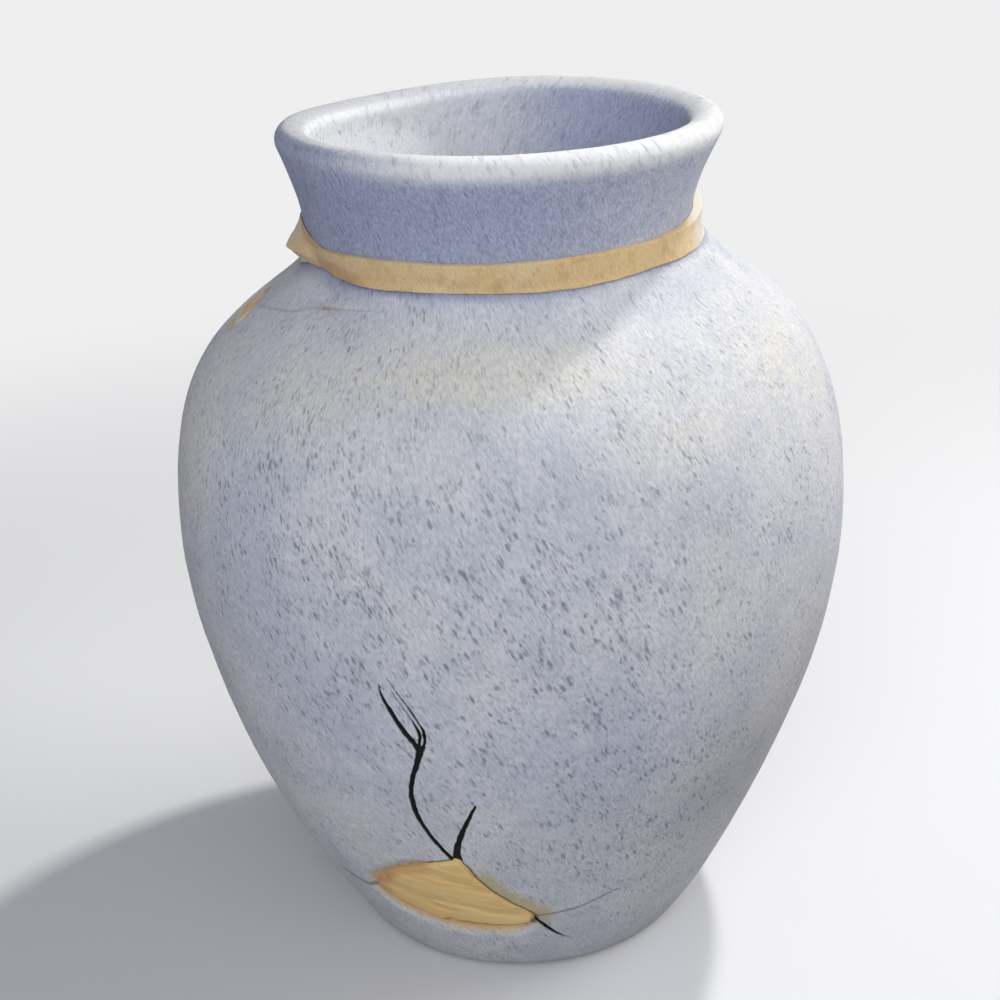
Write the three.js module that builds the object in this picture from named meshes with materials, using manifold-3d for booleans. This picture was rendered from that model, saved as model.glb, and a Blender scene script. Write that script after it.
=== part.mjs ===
// A pottery vase: a thrown earthenware body and a separately thrown neck, bedded together
// in a rebate, coated outside in a cracked stone finish, glazed inside, and strapped round
// the root of the neck. Millimetres, +Z up, origin at the centre of the foot. The front
// faces -Y, and angles run round the vase from the front towards +X, in degrees.

import * as THREE from 'three';
import { mergeVertices } from 'three/addons/utils/BufferGeometryUtils.js';
import Module from 'manifold-3d';

const wasm = await Module();
wasm.setup();

// Gap between pieces that touch
const clearance = 0.3;

// Outside of the finished body
const footRadius = 62.2;
const heelAngle = 31; // how steeply the heel leaves the table
const heelRun = 6.3; // reach of the heel's curve
const bellyRadius = 119.1;
const bellyHeight = 161.7;
const bellyRunBelow = 70.3; // how far the belly stays upright below its widest place
const bellyRunAbove = 76; // and above it
const shoulderRise = 102.3; // from the belly's widest place up to the neck's root
const shoulderRun = 29; // reach of the shoulder's slope up to the neck
const shoulderSlope = 57; // its angle below level
const rootFillet = 11; // hollow curve where the shoulder turns up into the neck
const rootRadius = 66;

// Outside of the finished neck, its lip and its mouth
const neckRise = 36; // from its root up to the top of the lip
const neckRun = 7; // how far the neck stays upright above its root
const neckLean = 24; // lean of the flare from upright
const flareRun = 17; // reach of the flare below the lip
const lipRadius = 75.1; // the lip's widest place
const lipBend = 4.6; // radius of the lip's rolled edge
const lipFlat = 3; // reach of the lip's top towards the mouth
const mouthRadius = 63.2; // just under the lip
const mouthDepth = 6.5; // height of the rolled lip inside
const mouthBend = 4.5; // reach of the curve from the lip into the mouth
const throatRun = 11; // reach of the curve from the mouth down to the neck's bore

// Heights above the table that these add up to
const rootHeight = bellyHeight + shoulderRise;
const vaseHeight = rootHeight + neckRise;

// Layers
const coatThickness = 1.8;
const wallThickness = 6.5;
const glazeThickness = 0.8;
const floorThickness = 9;
const slipThickness = 1;
const coatHem = 1.2; // bare strip that is wiped clean above the table

// Turned foot and the joint of neck and body
const footRingWidth = 12;
const footRecess = 1.5;
const rebateDepth = 5;

// Strap and its knot
const strapWidth = 8.4;
const strapThickness = 2.5;
const strapEdge = 0.8; // radius of its edges
const strapDrop = 6.5; // how far it hangs below the neck's root
const knotAngle = -82;
const knotDrop = 0.4; // how far its middle hangs below the strap's
const knotReach = 3.4; // how far it stands out from the strap
const knotLength = 24;
const knotHeight = 14;

// Places where the finish has come away: outlines on the surface, across and up
const lowerPatchHeight = 45;
const shoulderPatchDrop = 26.5; // how far the upper one's middle lies below the neck's root
const patches = [
  {
    angle: -18,
    height: lowerPatchHeight,
    outline: [
      [-29, -6], [-22, 6], [-10, 16], [3, 23.5], [10, 24], [14, 14],
      [21, 1], [29, -12], [23, -20], [4, -20.5], [-15, -18], [-25, -13],
    ],
  },
  {
    angle: -89,
    height: rootHeight - shoulderPatchDrop,
    outline: [
      [9, -6], [9, 0], [5, 5.5], [-4, 7.5], [-12, 4], [-14, -3], [-8, -8], [2, -9],
    ],
  },
];
const patchReach = 14; // how far a patch's walls run in and out from its middle

// Cracks in the finish: places along each one, as angle and height, and its width
const crackFloor = 0.6; // finish left under a crack
const cracks = [
  {
    width: 1.5,
    route: [[-12.6, 64], [-15, 73], [-17.8, 84], [-19, 98], [-16.5, 117], [-19, 131], [-21.6, 143]],
  },
  { width: 1.3, route: [[-17.3, 110], [-14.8, 125], [-16.2, 133], [-20, 146]] },
  { width: 1.7, route: [[-12, 63], [-11.4, 80], [-8, 96.5]] },
  { width: 1.5, route: [[0.5, 38], [5, 30], [11.7, 20]] },
];
const crackTip = 0.35; // share of its width that a crack keeps at its end

// Fineness of the surfaces, as steps along each curve
const roundSteps = 40;
const bellySteps = 6; // from the heel up to the belly
const shoulderSteps = 8;
const neckSteps = 4;
const mouthSteps = 4;
const bendSteps = 3; // round the lip's and the strap's edges
const filletSteps = 2;
const crackSteps = 12;
const patchSteps = 28;
const knotSides = 16;
const knotRings = 12;

const radians = THREE.MathUtils.degToRad;
const vec = (radius, height) => new THREE.Vector2(radius, height);

// A step from a place, at an angle above level
function stepFrom(place, angle, length) {
  const turn = radians(angle);
  return place.clone().add(vec(Math.cos(turn), Math.sin(turn)).multiplyScalar(length));
}

// What follows from the sizes: how deep each layer lies under the finished surface
const clayDepth = coatThickness + clearance;
const clayInnerDepth = clayDepth + wallThickness;
const glazeDepth = clayInnerDepth + clearance;
const glazeInnerDepth = glazeDepth + glazeThickness;
const boreRadius = rootRadius - clayDepth - wallThickness - clayDepth;
const rebateRadius = rootRadius - clayDepth - wallThickness / 2;
const rebateHeight = rootHeight - rebateDepth;
const neckFoot = rootHeight + clearance;
const slipBottom = rebateHeight + clearance;
const spigotFoot = slipBottom + slipThickness + clearance;
const spigotRadius = rebateRadius - clearance;
const strapBottom = rootHeight - strapDrop;
const strapTop = strapBottom + strapWidth;
const strapFace = rootRadius + clearance + strapThickness;

// Points along a chain of curves, each with the direction that faces out of the material
function sampleSkin(stretches) {
  const skin = [];
  for (const [curve, steps] of stretches) {
    for (let i = skin.length ? 1 : 0; i <= steps; i += 1) {
      const along = curve.getTangent(i / steps);
      skin.push({ point: curve.getPoint(i / steps), out: vec(along.y, -along.x) });
    }
  }
  return skin;
}

// The same line, moved a depth into the material
function inset(skin, depth) {
  return skin.map(({ point, out }) => point.clone().addScaledVector(out, -depth));
}

// The part of a rising line that lies between two heights
function between(line, low, high) {
  const kept = [];
  line.forEach((point, i) => {
    const last = line[i - 1] ?? point;
    for (const height of [low, high]) {
      if ((last.y - height) * (point.y - height) < 0) {
        kept.push(last.clone().lerp(point, (height - last.y) / (point.y - last.y)));
      }
    }
    if (point.y >= low && point.y <= high) kept.push(point);
  });
  return kept;
}

// The body's side: a full curve from heel to belly, one over the shoulder, and the fillet
function bodyStretches() {
  const heel = vec(footRadius, 0);
  const belly = vec(bellyRadius, bellyHeight);
  const filletCentre = vec(rootRadius + rootFillet, rootHeight);
  const filletStart = stepFrom(filletCentre, 270 - shoulderSlope, rootFillet);
  const lower = new THREE.CubicBezierCurve(
    heel,
    stepFrom(heel, heelAngle, heelRun),
    stepFrom(belly, -90, bellyRunBelow),
    belly,
  );
  const upper = new THREE.CubicBezierCurve(
    belly,
    stepFrom(belly, 90, bellyRunAbove),
    stepFrom(filletStart, -shoulderSlope, shoulderRun),
    filletStart,
  );
  const fillet = new THREE.EllipseCurve(
    filletCentre.x, filletCentre.y, rootFillet, rootFillet,
    radians(270 - shoulderSlope), radians(180), true,
  );
  return [[lower, bellySteps], [upper, shoulderSteps], [fillet, filletSteps]];
}

// The neck's outside, from its root up to the lip's rolled edge
function neckSide() {
  const root = vec(rootRadius, neckFoot);
  const lipCentre = vec(lipRadius - lipBend, vaseHeight - lipBend);
  const flareEnd = stepFrom(lipCentre, -neckLean, lipBend);
  return new THREE.CubicBezierCurve(
    root,
    stepFrom(root, 90, neckRun),
    stepFrom(flareEnd, -90 - neckLean, flareRun),
    flareEnd,
  );
}

// The neck's skin: up the outside, round the lip and down the mouth to the spigot's foot
function neckStretches() {
  const lipCentre = vec(lipRadius - lipBend, vaseHeight - lipBend);
  const lipTop = vec(lipCentre.x, vaseHeight);
  const mouth = vec(mouthRadius, vaseHeight - mouthDepth);
  const bore = vec(boreRadius, spigotFoot);
  const roll = new THREE.EllipseCurve(
    lipCentre.x, lipCentre.y, lipBend, lipBend, radians(-neckLean), radians(90), false,
  );
  const rim = new THREE.CubicBezierCurve(
    lipTop,
    stepFrom(lipTop, 180, lipFlat),
    stepFrom(mouth, 90, mouthBend),
    mouth,
  );
  const throat = new THREE.CubicBezierCurve(
    mouth,
    stepFrom(mouth, -90, throatRun),
    stepFrom(bore, 90, throatRun),
    bore,
  );
  return [[neckSide(), neckSteps], [roll, bendSteps], [rim, mouthSteps], [throat, mouthSteps]];
}

const bodySkin = sampleSkin(bodyStretches());
const neckSkin = sampleSkin(neckStretches());

// A solid turned from a profile of radius and height, closed on the axis or on itself
function turned(profile) {
  const first = profile[0];
  const closed = first.x === 0 ? profile : [...profile, first];
  return new THREE.LatheGeometry(closed, roundSteps).rotateX(Math.PI / 2);
}

// A turned wall between two depths under the body's skin, from a height to the neck's root
function bodyLayer(outerDepth, innerDepth, low) {
  const outside = between(inset(bodySkin, outerDepth), low, rootHeight);
  const inside = between(inset(bodySkin, innerDepth), low, rootHeight);
  return turned([...outside, ...inside.reverse()]);
}

function toManifold(geometry) {
  const bare = geometry.clone();
  bare.deleteAttribute('normal');
  bare.deleteAttribute('uv');
  const merged = mergeVertices(bare, 1e-4);
  const mesh = new wasm.Mesh({
    numProp: 3,
    vertProperties: merged.attributes.position.array,
    triVerts: Uint32Array.from(merged.index.array),
  });
  mesh.merge();
  return new wasm.Manifold(mesh);
}

function fromManifold(solid) {
  const mesh = solid.getMesh();
  const geometry = new THREE.BufferGeometry();
  geometry.setAttribute('position', new THREE.BufferAttribute(mesh.vertProperties, 3));
  geometry.setIndex(new THREE.BufferAttribute(mesh.triVerts, 1));
  geometry.computeVertexNormals();
  return geometry;
}

// A place on the body's finished surface, with the ways out of it, round it and up it
function onSurface(angle, height) {
  const above = bodySkin.findIndex(({ point }) => point.y > height);
  const [from, to] = [bodySkin[above - 1], bodySkin[above]];
  const share = (height - from.point.y) / (to.point.y - from.point.y);
  const radius = THREE.MathUtils.lerp(from.point.x, to.point.x, share);
  const slope = from.out.clone().lerp(to.out, share).normalize();
  const turn = radians(angle);
  const radial = new THREE.Vector3(Math.sin(turn), -Math.cos(turn), 0);
  const round = new THREE.Vector3(Math.cos(turn), Math.sin(turn), 0);
  const out = radial.clone().multiplyScalar(slope.x).setZ(slope.y);
  const up = out.clone().cross(round);
  return { point: radial.multiplyScalar(radius).setZ(height), out, round, up };
}

// A straight-walled plug through the finish, of a patch's outline
function patchPlug({ angle, height, outline }) {
  const corners = outline.map(([across, up]) => new THREE.Vector3(across, up, 0));
  const edge = new THREE.CatmullRomCurve3(corners, true).getPoints(patchSteps).slice(0, -1);
  const shape = new THREE.Shape(edge.map(({ x, y }) => vec(x, y)));
  const { point, out, round, up } = onSurface(angle, height);
  const place = new THREE.Matrix4().makeBasis(round, up, out).setPosition(point);
  return new THREE.ExtrudeGeometry(shape, { depth: 2 * patchReach, bevelEnabled: false })
    .translate(0, 0, -patchReach)
    .applyMatrix4(place);
}

// A tapering wedge along a crack: three corners at each step, two above the surface and
// one below it, joined into a closed solid
function crackWedge({ width, route }) {
  const depth = coatThickness - crackFloor;
  const rise = depth;
  const places = route.map(([angle, height]) => onSurface(angle, height).point);
  const line = new THREE.CatmullRomCurve3(places);
  const corners = [];
  for (let i = 0; i <= crackSteps; i += 1) {
    const share = i / crackSteps;
    const { x, y, z } = line.getPoint(share);
    const { point, out } = onSurface(THREE.MathUtils.radToDeg(Math.atan2(x, -y)), z);
    const across = line.getTangent(share).cross(out).normalize();
    const reach = width * THREE.MathUtils.lerp(1, crackTip, share);
    corners.push(point.clone().addScaledVector(out, rise).addScaledVector(across, reach));
    corners.push(point.clone().addScaledVector(out, rise).addScaledVector(across, -reach));
    corners.push(point.clone().addScaledVector(out, -depth));
  }
  const faces = [0, 1, 2];
  for (let i = 0; i < crackSteps; i += 1) {
    for (let side = 0; side < 3; side += 1) {
      const here = 3 * i + side;
      const next = 3 * i + ((side + 1) % 3);
      faces.push(here, next + 3, next, here, here + 3, next + 3);
    }
  }
  const end = 3 * crackSteps;
  faces.push(end, end + 2, end + 1);
  const geometry = new THREE.BufferGeometry().setFromPoints(corners);
  geometry.setIndex(faces);
  return geometry;
}

function clayBody() {
  const outside = between(inset(bodySkin, clayDepth), 0, rootHeight);
  const inside = between(inset(bodySkin, clayInnerDepth), floorThickness, rebateHeight);
  const heel = outside[0].x - clearance;
  const ringInner = heel - footRingWidth;
  return turned([
    vec(0, footRecess),
    vec(ringInner - footRecess, footRecess),
    vec(ringInner, 0),
    vec(heel, 0),
    ...outside,
    vec(rebateRadius, rootHeight),
    vec(rebateRadius, rebateHeight),
    ...inside.reverse(),
    vec(0, floorThickness),
  ]);
}

function neckCollar() {
  return turned([
    ...inset(neckSkin, clayDepth),
    vec(spigotRadius, spigotFoot),
    vec(spigotRadius, neckFoot),
  ]);
}

function lutingRing() {
  const inner = boreRadius + clayDepth;
  const top = slipBottom + slipThickness;
  return turned([
    vec(spigotRadius, slipBottom),
    vec(spigotRadius, top),
    vec(inner, top),
    vec(inner, slipBottom),
  ]);
}

function bodyCoat() {
  let coat = toManifold(bodyLayer(0, coatThickness, coatHem));
  for (const patch of patches) coat = coat.subtract(toManifold(patchPlug(patch)));
  for (const crack of cracks) coat = coat.subtract(toManifold(crackWedge(crack)));
  return fromManifold(coat);
}

function neckCoat() {
  return turned([...inset(neckSkin, 0), ...inset(neckSkin, coatThickness).reverse()]);
}

function glazeLiner() {
  const low = floorThickness + clearance;
  const outside = between(inset(bodySkin, glazeDepth), low, rebateHeight);
  const inside = between(inset(bodySkin, glazeInnerDepth), low + glazeThickness, rebateHeight);
  return turned([vec(0, low), ...outside, ...inside.reverse(), vec(0, low + glazeThickness)]);
}

// The line of the fillet and the neck's root that the strap lies on
const strapBed = between(
  inset([...bodySkin, ...sampleSkin([[neckSide(), neckSteps]])], -clearance), strapBottom, strapTop,
);

// The strap's face leans out at its lower edge where the shoulder would leave it too thin
const strapLowFace = Math.max(strapFace, strapBed[0].x + strapEdge);

// The strap lies on its bed, with round edges
function neckStrap() {
  const corner = (face, height, from, to) => new THREE.EllipseCurve(
    face - strapEdge, height, strapEdge, strapEdge, radians(from), radians(to), true,
  ).getPoints(bendSteps);
  const face = [
    ...corner(strapFace, strapTop - strapEdge, 90, 0),
    ...corner(strapLowFace, strapBottom + strapEdge, 0, -90),
  ];
  return turned([...strapBed, ...face].reverse());
}

// The knot is a lump whose back is hollowed to fit round the strap and on the shoulder
function strapKnot() {
  const reach = strapFace + clearance;
  const lowReach = strapLowFace + clearance;
  const middle = strapBottom + strapWidth / 2 - knotDrop;
  const lump = new THREE.SphereGeometry(1, knotSides, knotRings)
    .scale(knotLength / 2, knotReach + clearance, knotHeight / 2)
    .translate(0, -strapFace, middle)
    .rotateZ(radians(knotAngle));
  const low = strapBottom - knotHeight;
  const high = strapTop + knotHeight;
  const shoulder = between(inset(bodySkin, -clearance), low, strapBottom);
  const hollow = turned([
    vec(0, low),
    ...shoulder.map(({ x, y }) => vec(Math.max(x, lowReach), y)),
    vec(lowReach, strapBottom + strapEdge),
    vec(reach, strapTop - strapEdge),
    vec(reach, high),
    vec(0, high),
  ]);
  return fromManifold(toManifold(lump).subtract(toManifold(hollow)));
}

function material(color, roughness) {
  return new THREE.MeshStandardMaterial({ color, roughness, metalness: 0 });
}

const clay = material('#c6a571', 0.92);
const slip = material('#b08f5f', 0.95);
const stoneFinish = material('#a9adbb', 0.88);
const glaze = material('#8c93a6', 0.3);
const suede = material('#c9a873', 0.9);

const vase = new THREE.Group();

function add(name, geometry, finish) {
  const mesh = new THREE.Mesh(geometry, finish);
  mesh.name = name;
  vase.add(mesh);
}

add('clay_body', clayBody(), clay);
add('neck_collar', neckCollar(), clay);
add('luting_ring', lutingRing(), slip);
add('body_coat', bodyCoat(), stoneFinish);
add('neck_coat', neckCoat(), stoneFinish);
add('glaze_liner', glazeLiner(), glaze);
add('neck_strap', neckStrap(), suede);
add('strap_knot', strapKnot(), suede);

export default vase;
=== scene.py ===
"""A pottery vase: a sandy stone finish, cracked and worn through to tan clay, over a thrown
body and neck, with a tan suede strap round the neck's root.

Metres, +Z up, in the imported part's frame: the front faces -Y, and angles run round the vase
from the front towards +X, in degrees.
"""

import logging
import math
from dataclasses import dataclass, field
from enum import Enum
from typing import Dict, Optional, Sequence, Tuple

import bmesh
import bpy
import numpy as np
from mathutils import Matrix, Vector, noise


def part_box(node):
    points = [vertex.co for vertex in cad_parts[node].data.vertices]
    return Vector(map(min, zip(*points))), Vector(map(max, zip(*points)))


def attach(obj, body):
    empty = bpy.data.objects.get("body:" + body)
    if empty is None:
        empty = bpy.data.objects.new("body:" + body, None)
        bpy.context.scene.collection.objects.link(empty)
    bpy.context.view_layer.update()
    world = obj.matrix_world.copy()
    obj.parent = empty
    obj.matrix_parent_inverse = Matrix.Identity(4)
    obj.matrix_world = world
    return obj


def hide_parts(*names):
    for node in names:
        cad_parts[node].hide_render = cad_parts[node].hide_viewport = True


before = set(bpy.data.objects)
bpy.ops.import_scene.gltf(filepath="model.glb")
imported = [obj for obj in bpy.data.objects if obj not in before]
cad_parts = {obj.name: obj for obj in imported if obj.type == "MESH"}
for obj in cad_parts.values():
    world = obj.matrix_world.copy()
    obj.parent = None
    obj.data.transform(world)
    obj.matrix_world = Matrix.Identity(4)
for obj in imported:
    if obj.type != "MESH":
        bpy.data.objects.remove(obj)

LOG = logging.getLogger("vase")
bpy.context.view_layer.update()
MM = 0.001
FULL_TURN = 2 * math.pi
TINY = 1e-18

Pair = Tuple[float, float]
Table = Tuple[Pair, ...]
Colour = Tuple[float, float, float]
Marks = Dict[str, np.ndarray]
Mesh = bmesh.types.BMesh
Material = bpy.types.Material
Socket = bpy.types.NodeSocket


# Lines and curves

def step_from(place: Pair, degrees: float, length: float) -> Pair:
    """The radius and height that a step of a length, at some degrees above level, leads to."""
    turn = math.radians(degrees)
    return place[0] + length * math.cos(turn), place[1] + length * math.sin(turn)


def cubic(start: Pair, near: Pair, far: Pair, end: Pair, steps: int) -> np.ndarray:
    """Samples a cubic curve.

    Args:
        start: First point.
        near: Handle of the first point.
        far: Handle of the last point.
        end: Last point.
        steps: Number of steps.

    Returns:
        Rows of radius and height, one more than the steps.
    """
    t = np.linspace(0, 1, steps + 1)[:, None]
    corners = [np.array(corner) for corner in (start, near, far, end)]
    weights = [(1 - t) ** 3, 3 * t * (1 - t) ** 2, 3 * t ** 2 * (1 - t), t ** 3]
    return sum(weight * corner for weight, corner in zip(weights, corners))


def arc(centre: Pair, radius: float, first: float, last: float, steps: int) -> np.ndarray:
    """Rows of radius and height along an arc, from its first to its last angle above level."""
    turns = np.radians(np.linspace(first, last, steps + 1))
    return np.array(centre) + radius * np.stack([np.cos(turns), np.sin(turns)], axis=1)


def joined(*stretches: np.ndarray) -> np.ndarray:
    """Joins curves end to end, with each shared point once."""
    return np.concatenate([stretches[0]] + [stretch[1:] for stretch in stretches[1:]])


def outward(line: np.ndarray) -> np.ndarray:
    """Unit rows that face out of the material along a line that rises on the outside."""
    along = np.gradient(line, axis=0)
    along /= np.linalg.norm(along, axis=1)[:, None]
    return np.stack([along[:, 1], -along[:, 0]], axis=1)


def climb_of(line: np.ndarray) -> np.ndarray:
    """Length of a line up to each of its rows."""
    return np.concatenate([[0.0], np.cumsum(np.linalg.norm(np.diff(line, axis=0), axis=1))])


def inset(line: np.ndarray, depth: float) -> np.ndarray:
    """Moves a line of radii and heights into the material by a depth."""
    return line - depth * outward(line)


def between(line: np.ndarray, low: float, high: float) -> np.ndarray:
    """Cuts a rising line at two heights.

    Args:
        line: Rows of radius and height.
        low: Height of its new start, or where it starts if that is higher.
        high: Height of its new end, or where it ends if that is lower.

    Returns:
        The rows between them, with the cut points.
    """
    low, high = max(low, line[0, 1]), min(high, line[-1, 1])
    inner = line[(line[:, 1] > low) & (line[:, 1] < high)]
    ends = [(np.interp(height, line[:, 1], line[:, 0]), height) for height in (low, high)]
    return np.concatenate([[ends[0]], inner, [ends[1]]])


def rounded(points: Sequence[Sequence[float]], steps: int, closed: bool = False) -> np.ndarray:
    """Draws a smooth line through points.

    Args:
        points: The points, of any number of dimensions.
        steps: Steps from one point to the next.
        closed: Whether it runs back to its first point.

    Returns:
        Rows along the line. A closed line doesn't repeat its first point.
    """
    knots = np.array(points, float)
    if closed:
        padded = np.concatenate([knots[-1:], knots, knots[:2]])
    else:
        padded = np.concatenate([2 * knots[:1] - knots[1:2], knots, 2 * knots[-1:] - knots[-2:-1]])
    t = np.linspace(0, 1, steps, endpoint=False)[:, None]
    rows = []
    for a, b, c, d in zip(padded, padded[1:], padded[2:], padded[3:]):
        rows.append(0.5 * (2 * b + (c - a) * t + (2 * a - 5 * b + 4 * c - d) * t ** 2
                           + (3 * b - a - 3 * c + d) * t ** 3))
    line = np.concatenate(rows)
    return line if closed else np.concatenate([line, knots[-1:]])


def ramp(values: np.ndarray, low: float, high: float) -> np.ndarray:
    """Eases from 0 to 1 between a low and a high value, as a share for each given value."""
    share = np.clip((values - low) / (high - low), 0, 1)
    return share * share * (3 - 2 * share)


def ripple(places: np.ndarray, grain: float, seed: float = 0.0, octaves: int = 2) -> np.ndarray:
    """Smooth noise from about -1 to 1 at places, by the width of its lumps and its finer layers."""
    shift = Vector((seed, 2 * seed, -seed))
    return np.array([noise.fractal(Vector(place) / grain + shift, 1.0, 2.0, octaves)
                     for place in places])


# Places round the vase

def angles_of(places: np.ndarray) -> np.ndarray:
    """Angles of places round the vase, from the front towards +X, in degrees."""
    return np.degrees(np.arctan2(places[:, 0], -places[:, 1]))


def reaches_of(places: np.ndarray) -> np.ndarray:
    """Distances of places from the vase's axis."""
    return np.hypot(places[:, 0], places[:, 1])


def turned_from(angles: np.ndarray, middle: float) -> np.ndarray:
    """How far angles are turned from another one, from -180 to 180 degrees."""
    return (angles - middle + 180) % 360 - 180


def wrapped(reach: np.ndarray, angle: np.ndarray, height: np.ndarray) -> np.ndarray:
    """Places by their distances from the axis, their angles and their heights."""
    turn = np.radians(angle)
    return np.column_stack([reach * np.sin(turn), -reach * np.cos(turn), height])


def all_round(table: Table, angles: np.ndarray) -> np.ndarray:
    """Reads at some angles a value that a table gives by its angle round the vase."""
    return np.interp(angles, *zip(*table))


# The vase's shape

@dataclass(frozen=True)
class VaseShape:
    """Outside of the finished vase and the depths of its layers. The overall sizes come from
    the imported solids, and the curves' reaches are named here."""

    belly_radius: float
    root_height: float
    lip_radius: float
    vase_height: float
    coat_hem: float
    foot_radius: float = 62.2 * MM
    heel_angle: float = 31.0
    heel_run: float = 6.3 * MM
    belly_height: float = 161.7 * MM
    belly_run_below: float = 70.3 * MM
    belly_run_above: float = 76 * MM
    shoulder_run: float = 29 * MM
    shoulder_slope: float = 57.0
    root_fillet: float = 11 * MM
    root_radius: float = 66 * MM
    neck_run: float = 7 * MM
    neck_lean: float = 24.0
    flare_run: float = 17 * MM
    lip_bend: float = 4.6 * MM
    lip_flat: float = 3 * MM
    mouth_radius: float = 63.2 * MM
    mouth_depth: float = 6.5 * MM
    mouth_bend: float = 4.5 * MM
    throat_run: float = 11 * MM
    clearance: float = 0.3 * MM
    coat: float = 1.8 * MM
    wall: float = 6.5 * MM
    glaze: float = 0.8 * MM
    slip: float = 1.0 * MM
    floor: float = 9 * MM
    foot_ring: float = 12 * MM
    foot_recess: float = 1.5 * MM
    rebate: float = 5 * MM

    @classmethod
    def from_frame(cls) -> "VaseShape":
        """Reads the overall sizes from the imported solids.

        Returns:
            The vase's shape.
        """
        low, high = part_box("body_coat")
        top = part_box("neck_coat")[1]
        return cls(belly_radius=high.x, root_height=high.z, lip_radius=top.x,
                   vase_height=top.z, coat_hem=low.z)

    @property
    def clay_depth(self) -> float:
        """Depth of the clay's outside under the finished surface."""
        return self.coat + self.clearance

    @property
    def clay_inside(self) -> float:
        """Depth of the clay's inside."""
        return self.clay_depth + self.wall

    @property
    def bore(self) -> float:
        """Radius of the neck's bore."""
        return self.root_radius - self.clay_depth - self.wall - self.clay_depth

    @property
    def rebate_radius(self) -> float:
        """Radius of the rebate that the neck sits in."""
        return self.root_radius - self.clay_depth - self.wall / 2

    @property
    def slip_bottom(self) -> float:
        """Height of the slip's underside."""
        return self.root_height - self.rebate + self.clearance

    @property
    def spigot_foot(self) -> float:
        """Height of the neck's lower end."""
        return self.slip_bottom + self.slip + self.clearance

    @property
    def lip_centre(self) -> Pair:
        """Middle of the lip's rolled edge."""
        return self.lip_radius - self.lip_bend, self.vase_height - self.lip_bend

    @property
    def neck_foot(self) -> float:
        """Height at which the neck meets the body outside."""
        return self.root_height + self.clearance

    def body_side(self) -> np.ndarray:
        """Draws the body's finished side, from its heel to the neck's root.

        Returns:
            Rows of radius and height.
        """
        heel = (self.foot_radius, 0.0)
        belly = (self.belly_radius, self.belly_height)
        centre = (self.root_radius + self.root_fillet, self.root_height)
        meeting = 270 - self.shoulder_slope
        fillet = step_from(centre, meeting, self.root_fillet)
        lower = cubic(heel, step_from(heel, self.heel_angle, self.heel_run),
                      step_from(belly, -90, self.belly_run_below), belly, steps=44)
        upper = cubic(belly, step_from(belly, 90, self.belly_run_above),
                      step_from(fillet, -self.shoulder_slope, self.shoulder_run), fillet, steps=34)
        return joined(lower, upper, arc(centre, self.root_fillet, meeting, 180, steps=7))

    def neck_side(self) -> np.ndarray:
        """Draws the neck's outside, from its root to the lip's rolled edge.

        Returns:
            Rows of radius and height.
        """
        root = (self.root_radius, self.neck_foot)
        flare = step_from(self.lip_centre, -self.neck_lean, self.lip_bend)
        return cubic(root, step_from(root, 90, self.neck_run),
                     step_from(flare, -90 - self.neck_lean, self.flare_run), flare, steps=14)

    def neck_skin(self) -> np.ndarray:
        """Draws the neck's finished skin: up the outside, round the lip and down the mouth.

        Returns:
            Rows of radius and height.
        """
        top = (self.lip_centre[0], self.vase_height)
        mouth = (self.mouth_radius, self.vase_height - self.mouth_depth)
        bore = (self.bore, self.spigot_foot)
        roll = arc(self.lip_centre, self.lip_bend, -self.neck_lean, 90, steps=10)
        rim = cubic(top, step_from(top, 180, self.lip_flat),
                    step_from(mouth, 90, self.mouth_bend), mouth, steps=9)
        throat = cubic(mouth, step_from(mouth, -90, self.throat_run),
                       step_from(bore, 90, self.throat_run), bore, steps=14)
        return joined(self.neck_side(), roll, rim, throat)


class Side:
    """The body's finished side, asked for its radius and its lean at a height."""

    seat_rounds = 4

    def __init__(self, line: np.ndarray) -> None:
        """Keeps a side line.

        Args:
            line: Rows of radius and height, rising.
        """
        self.radii = line[:, 0]
        self.heights = line[:, 1]
        self.out = outward(line)
        self.climbs = climb_of(line)

    def radius(self, heights: np.ndarray) -> np.ndarray:
        """Radius of the finished surface at some heights."""
        return np.interp(heights, self.heights, self.radii)

    def lean(self, heights: np.ndarray) -> np.ndarray:
        """Outward direction at some heights, as rows of its reach outwards and up."""
        return np.stack([np.interp(heights, self.heights, self.out[:, i]) for i in (0, 1)], axis=1)

    def climb(self, heights: np.ndarray) -> np.ndarray:
        """Length of the side up to some heights."""
        return np.interp(heights, self.heights, self.climbs)

    def depth(self, places: np.ndarray) -> np.ndarray:
        """How deep places lie under the finished surface, near it."""
        gap = self.radius(places[:, 2]) - reaches_of(places)
        return gap * self.lean(places[:, 2])[:, 0]

    def seat(self, places: np.ndarray, old: np.ndarray, new: np.ndarray) -> np.ndarray:
        """Moves places square to the finished surface, from one depth under it to another.

        Args:
            places: Rows of x, y and z.
            old: Depth at which each of them lies.
            new: Depth at which each of them is to lie.

        Returns:
            The moved rows.
        """
        above = places[:, 2].copy()
        for _ in range(self.seat_rounds):
            above = places[:, 2] + old * self.lean(above)[:, 1]
        lean = self.lean(above)
        radius = self.radius(above) - new * lean[:, 0]
        flat = places[:, :2] * (radius / reaches_of(places))[:, None]
        return np.column_stack([flat, above - new * lean[:, 1]])

    def at(self, angle: float, height: float) -> np.ndarray:
        """A place on the finished surface, by its angle and height."""
        turn = math.radians(angle)
        radius = float(self.radius(np.array([height]))[0])
        return np.array([radius * math.sin(turn), -radius * math.cos(turn), height])


@dataclass(frozen=True)
class Lean:
    """A stretch of the height that stands a little to one side, easing in and out."""

    shift: float
    low: float
    full: float
    fading: float
    gone: float

    def at(self, heights: np.ndarray) -> np.ndarray:
        """How far places at some heights stand to the right."""
        kept = 1 - ramp(heights, self.fading, self.gone)
        return self.shift * ramp(heights, self.low, self.full) * kept


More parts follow.
